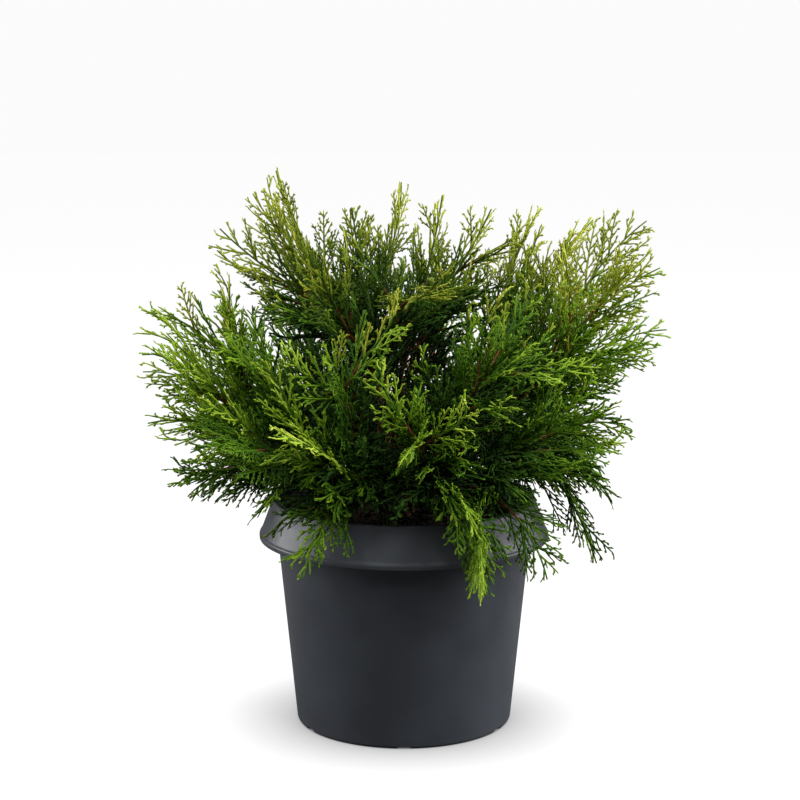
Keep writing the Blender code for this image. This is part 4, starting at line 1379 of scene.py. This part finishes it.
def add_limb(joined, points, radii, sides, relief, seed):
    """A limb with lengthwise ridges and fine wrinkles in its bark's relief."""
    rings = tube_rings(points, radii, sides)
    steps = np.linspace(0, 1, len(points))
    run = sum((b - a).length for a, b in zip(points, points[1:]))
    grid = []
    for step in steps:
        for angle in math.tau * np.arange(sides) / sides:
            around = math.cos(angle) * BARK_RADIUS, math.sin(angle) * BARK_RADIUS
            grid.append((*around, step * run * BARK_STRETCH))
    grid = np.array(grid)
    wrinkles = np.abs(ripple(grid, RIDGE_WIDTH, seed)) - RIDGE_LEVEL
    wrinkles = wrinkles + WRINKLE_SHARE * ripple(grid, WRINKLE_WIDTH, seed + 1)
    away = unit(rings - np.array([list(p) for p in points])[:, None])
    fade = np.minimum(1.0, np.minimum(steps, 1 - steps) / RELIEF_FADE)[:, None, None]
    depth = relief * wrinkles.reshape(len(points), sides, 1) * fade
    faces = spindle_faces(len(points), sides)
    corners = closed(rings + away * depth, points)
    joined.add(corners[None], faces)


def build_wood(boughs):
    """Trunk and bare boughs as one mesh with the bark's relief."""
    joined = Joined()
    shares = np.linspace(0, 1, TRUNK_STEPS)
    points = [TRUNK_FOOT.lerp(TRUNK_TOP, share) for share in shares]
    flare = points[FLARE_STEPS].xy
    for i in range(FLARE_STEPS):
        points[i].xy = points[0].xy.lerp(flare, (shares[i] / FLARE_SHARE) ** 2)
    radii = np.interp(shares, *zip(*TRUNK_RINGS)) - TRUNK_ROOM
    add_limb(joined, points, radii, TRUNK_SIDES, TRUNK_RELIEF, TRUNK_SEED)
    radii = np.linspace(BOUGH_RADIUS, BOUGH_TIP_RADIUS, BOUGH_STEPS) - BOUGH_ROOM
    for i, bough in enumerate(boughs):
        points = resampled(bough.points, BOUGH_STEPS)
        add_limb(joined, points, radii, BOUGH_SIDES, BOUGH_RELIEF, BOUGH_SEED + 2 * i)
    return joined.build("trunk_and_boughs", [grainy_material("bark")])


# ------------ foliage


def plumes_of(spray, index, spaces):
    """The side plumes of a spray's own stem: the source's twigs and the finer ones."""
    dice = random.Random(seed_for("plumes", index))
    twigs, roll = spray_twigs(spray, index)
    twigs += finer_twigs(spray.points, TIERS[spray.tier]["leafage"], roll, dice)
    fitted = [spaces.fitted(spray.name, twig) for twig in twigs]
    return [twig for twig in fitted if twig]


def plumes_on(stems, index, leafage):
    """The side plumes of the finer stems."""
    dice = random.Random(seed_for("finer plumes", index))
    twigs = []
    for points, roll, tone, width in stems:
        twigs += finer_twigs(points, leafage * width, roll, dice, tone)
    return [twig for twig in twigs if is_clear(twig.tip())]


def filling_plumes(bough, index):
    """Small plumes along a bare bough; their dark greens are painted shade."""
    dice = random.Random(seed_for("fillers", index))
    twigs = []
    for i in range(FILLERS):
        share = FILLER_FROM + FILLER_SPAN * (i + dice.uniform(0, 1)) / FILLERS
        side = dice.uniform(-math.pi, math.pi)
        lean = math.radians(dice.uniform(*FILLER_LEAN))
        place, _, _, out = fork_at(bough.points, share, side, lean)
        plane = lateral_at(out, dice.uniform(-math.pi, math.pi))
        twigs.append(Twig(place, out, plane, dice.uniform(*FILLER_LENGTH), FILLER_PLACE))
    return [twig for twig in twigs if is_clear(twig.tip())]


def as_shoots(twigs, light, dice):
    """The plumes' axes as shoots, bending towards their tips' side of the crown."""

    def column(name):
        return np.array([getattr(twig, name) for twig in twigs], float)

    count = len(twigs)
    start, out, share, length = column("start"), column("out"), column("share"), column("length")
    curl = dice.normal(0, PLUME_CURL, (count, 3)) + column("bend")
    curl[:, 2] += PLUME_RISE - PLUME_SAG * (1 - light)
    # The shade: the tier's light, lighter towards the stem's tip, and the plume's own tone; partly real,
    # partly painted light and shade.
    base, gain, neutral = PLUME_SHADE
    shade = light * (base + gain * (share - neutral)) + column("tone")
    shade = shade + dice.normal(0, PLUME_SHADE_SPREAD, count)
    height = start[:, 2] + out[:, 2] * length + dice.normal(0, OLIVE_SPREAD, count)
    palette = np.where(height > OLIVE_FROM, len(GREENS), 0)
    width = np.full(count, PLUME_RADIUS)
    return Shoots(start, out, curl, across_from(column("lateral"), out), length, width, shade, palette)


def add_stem(joined, points, radius, woody, green, count, sides):
    """A stem, woody at its root and green towards its tip."""
    radii = np.interp(np.linspace(0, 1, count), (0, 0.5, 1), (radius, radius * STEM_TAPER, STEM_TIP_RADIUS))
    faces = spindle_faces(count, sides)
    slots = np.full(len(faces), green)
    slots[: round(len(faces) * woody)] = WOOD
    points = resampled(points, count)
    joined.add(closed(tube_rings(points, radii, sides), points)[None], faces, slots[None])


def add_plumes(joined, plumes, slots):
    """Plume axes: woody at the root where they are long, green beyond."""
    faces = spindle_faces(len(PLUME.shares), PLUME.sides)
    table = np.repeat(slots[:, None], len(faces), axis=1)
    table[plumes.length > WOODY_PLUME, : round(len(faces) * WOODY_SHARE)] = WOOD
    joined.add(spindle_corners(plumes, PLUME), faces, table)


def grow_dark_leaves(joined, plumes, dice):
    """Broad plain shoots for the crown's inside, which the outer sprays hide; their dark greens are painted
    shade.
    """
    add_spindles(joined, branch(plumes, DARK_SHOOTS, dice), DARK_SHOOTS.form, dice)


def grow_leaves(joined, plumes, dice):
    """Shoots on the plumes and branchlets on the shoots."""
    shoots = branch(plumes, SHOOTS, dice)
    small = branch(shoots, BRANCHLETS, dice)
    outside = depth_shade(small.root) > HIDDEN_DEPTH
    small = small.rows(outside | (dice.uniform(size=len(small)) < HIDDEN_SHARE))
    add_spindles(joined, shoots, SHOOTS.form, dice)
    add_spindles(joined, small, BRANCHLETS.form, dice)


def clothe(spray, index, spaces, stems, deep_stems, wood, leaves):
    """All that a spray bears: its stem, the finer stems that fork from it, and their plumes."""
    habit = TIERS[spray.tier]
    dice = np.random.default_rng(seed_for("spray", index))
    light = habit["light"] + dice.uniform(-LIGHT_SPREAD, LIGHT_SPREAD)
    twigs = plumes_of(spray, index, spaces)
    twigs += plumes_on(stems, index, habit["leafage"] * FINER_LEAFAGE)
    plumes = as_shoots(twigs, light, dice)
    slots = green_slots(plumes, dice)
    add_plumes(wood, plumes, slots)
    green = int(np.median(slots))
    add_stem(wood, spray.points, green=green, **SPRAY_STEM)
    for points, _, _, _ in stems:
        add_stem(wood, points, green=green, **FINER_STEM)
    grow_leaves(leaves, plumes, dice)
    hidden = plumes_on(deep_stems, index + HIDDEN_STREAM, HIDDEN_LEAFAGE)
    if hidden:
        plumes = as_shoots(hidden, HIDDEN_LIGHT, dice)
        add_plumes(wood, plumes, green_slots(plumes, dice))
        grow_dark_leaves(leaves, plumes, dice)


def link_piece(name, joined, materials):
    """The joined parts as one object on the root body."""
    obj = joined.build(name, materials)
    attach(obj, "root")
    return obj


def build_foliage(boughs, sprays):
    """The leaves of each tier in pieces of a limited size, those inside, and all twigs."""
    spaces = Spaces(sprays)
    finer = finer_stems(sprays, *OUTER_STEMS, seed_for("outer stems"))
    show_stems(sprays, finer)
    deep = finer_stems(sprays, *INNER_STEMS, seed_for("inner stems"))
    wood = Joined()
    groups = []
    for tier in TIERS:
        joined, names = Joined(), []
        for index, spray in enumerate(sprays):
            if spray.tier != tier:
                continue
            clothe(spray, index, spaces, finer[spray.name], deep[spray.name], wood, joined)
            names.append(spray.name)
            if joined.triangles() > PIECE_FULL:
                groups.append((tier, joined, names))
                joined, names = Joined(), []
        if names:
            groups.append((tier, joined, names))
    inside = Joined()
    for index, bough in enumerate(boughs):
        dice = np.random.default_rng(seed_for("bough", index))
        plumes = as_shoots(filling_plumes(bough, index), FILLER_LIGHT, dice)
        add_plumes(wood, plumes, green_slots(plumes, dice))
        grow_leaves(inside, plumes, dice)
    leaves = leaf_materials("scale_leaf", GREENS) + leaf_materials("olive_leaf", OLIVES)
    for number, (tier, joined, names) in enumerate(groups):
        obj = link_piece(f"leaves_{tier}_{number + 1}", joined, leaves)
        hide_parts(*names)
    obj = link_piece("leaves_inside", inside, leaves)
    obj = link_piece("twigs", wood, leaves + [grainy_material("twig_bark")])


# ------------ stage, light, camera


def seen_or_lighting(tree, seen, lighting):
    """One strength where the camera sees a surface, and another where it lights the plant."""
    wiring = Wiring(tree)
    rays = wiring.node("ShaderNodeLightPath", "Is Camera Ray")
    return wiring.spread(rays, To_Min=lighting, To_Max=seen)


def build_stage():
    """A pale floor whose glow fades close to the pot, where its contact shadow lies."""
    mesh = bpy.data.meshes.new("floor")
    half = FLOOR_HALF
    corners = [(-half, -half, 0), (half, -half, 0), (half, half, 0), (-half, half, 0)]
    mesh.from_pydata(corners, [], [(0, 1, 2, 3)])
    floor = new_object("floor", mesh)
    pale = Surface("pale_floor", FLOOR_GREY, FLOOR_ROUGHNESS, Emission_Color=WHITE)
    strength = pale.tree.nodes.new("ShaderNodeMath")
    strength.operation = "MULTIPLY"
    pale.set(strength.inputs[0], seen_or_lighting(pale.tree, FLOOR_SEEN, FLOOR_LIGHT))
    nearby = pale.node("ShaderNodeAmbientOcclusion", "AO", Distance=CONTACT_SHADOW)
    pale.set(strength.inputs[1], nearby)
    pale.set(pale.shader["Emission Strength"], strength.outputs["Value"])
    mesh.materials.append(pale.material)


def aim(obj, place, target):
    """Puts a light or the camera at this place, facing the target."""
    obj.location = place
    obj.rotation_euler = (Vector(target) - Vector(place)).to_track_quat("-Z", "Y").to_euler()


def build_lights():
    """A white surrounding, and the lights of the photograph's studio."""
    world = bpy.data.worlds.new("white")
    bpy.context.scene.world = world
    world.use_nodes = True
    background = world.node_tree.nodes["Background"].inputs
    background["Color"].default_value = WHITE
    strength = seen_or_lighting(world.node_tree, BACKDROP_SEEN, BACKDROP_LIGHT)
    world.node_tree.links.new(strength, background["Strength"])
    for name, place, target, size, power in LIGHTS:
        data = bpy.data.lights.new(name, "AREA")
        data.shape = "DISK"
        data.size = size
        data.energy = power
        light = new_object(name, data)
        light.visible_camera = False
        aim(light, place, target)


def build_camera():
    """The photograph's camera, with its picture's middle at the target."""
    data = bpy.data.cameras.new("camera")
    data.sensor_width = SENSOR_WIDTH
    data.lens = FOCAL_LENGTH / PHOTO_WIDTH * SENSOR_WIDTH
    data.clip_start = CLIP_START
    camera = new_object("camera", data)
    aim(camera, CAMERA_TARGET - direction(90.0, CAMERA_PITCH) * CAMERA_DISTANCE, CAMERA_TARGET)
    bpy.context.scene.camera = camera


def main():
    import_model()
    boughs, sprays = lay_out_sprays(lay_out_boughs())
    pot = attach(build_pot(), "root")
    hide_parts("pot")
    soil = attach(build_soil(), "root")
    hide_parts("soil")
    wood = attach(build_wood(boughs), "root")
    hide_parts("trunk", *[bough.name for bough in boughs])
    build_foliage(boughs, sprays)
    build_stage()
    build_lights()
    build_camera()
    bpy.context.scene.view_settings.view_transform = "Standard"


main()
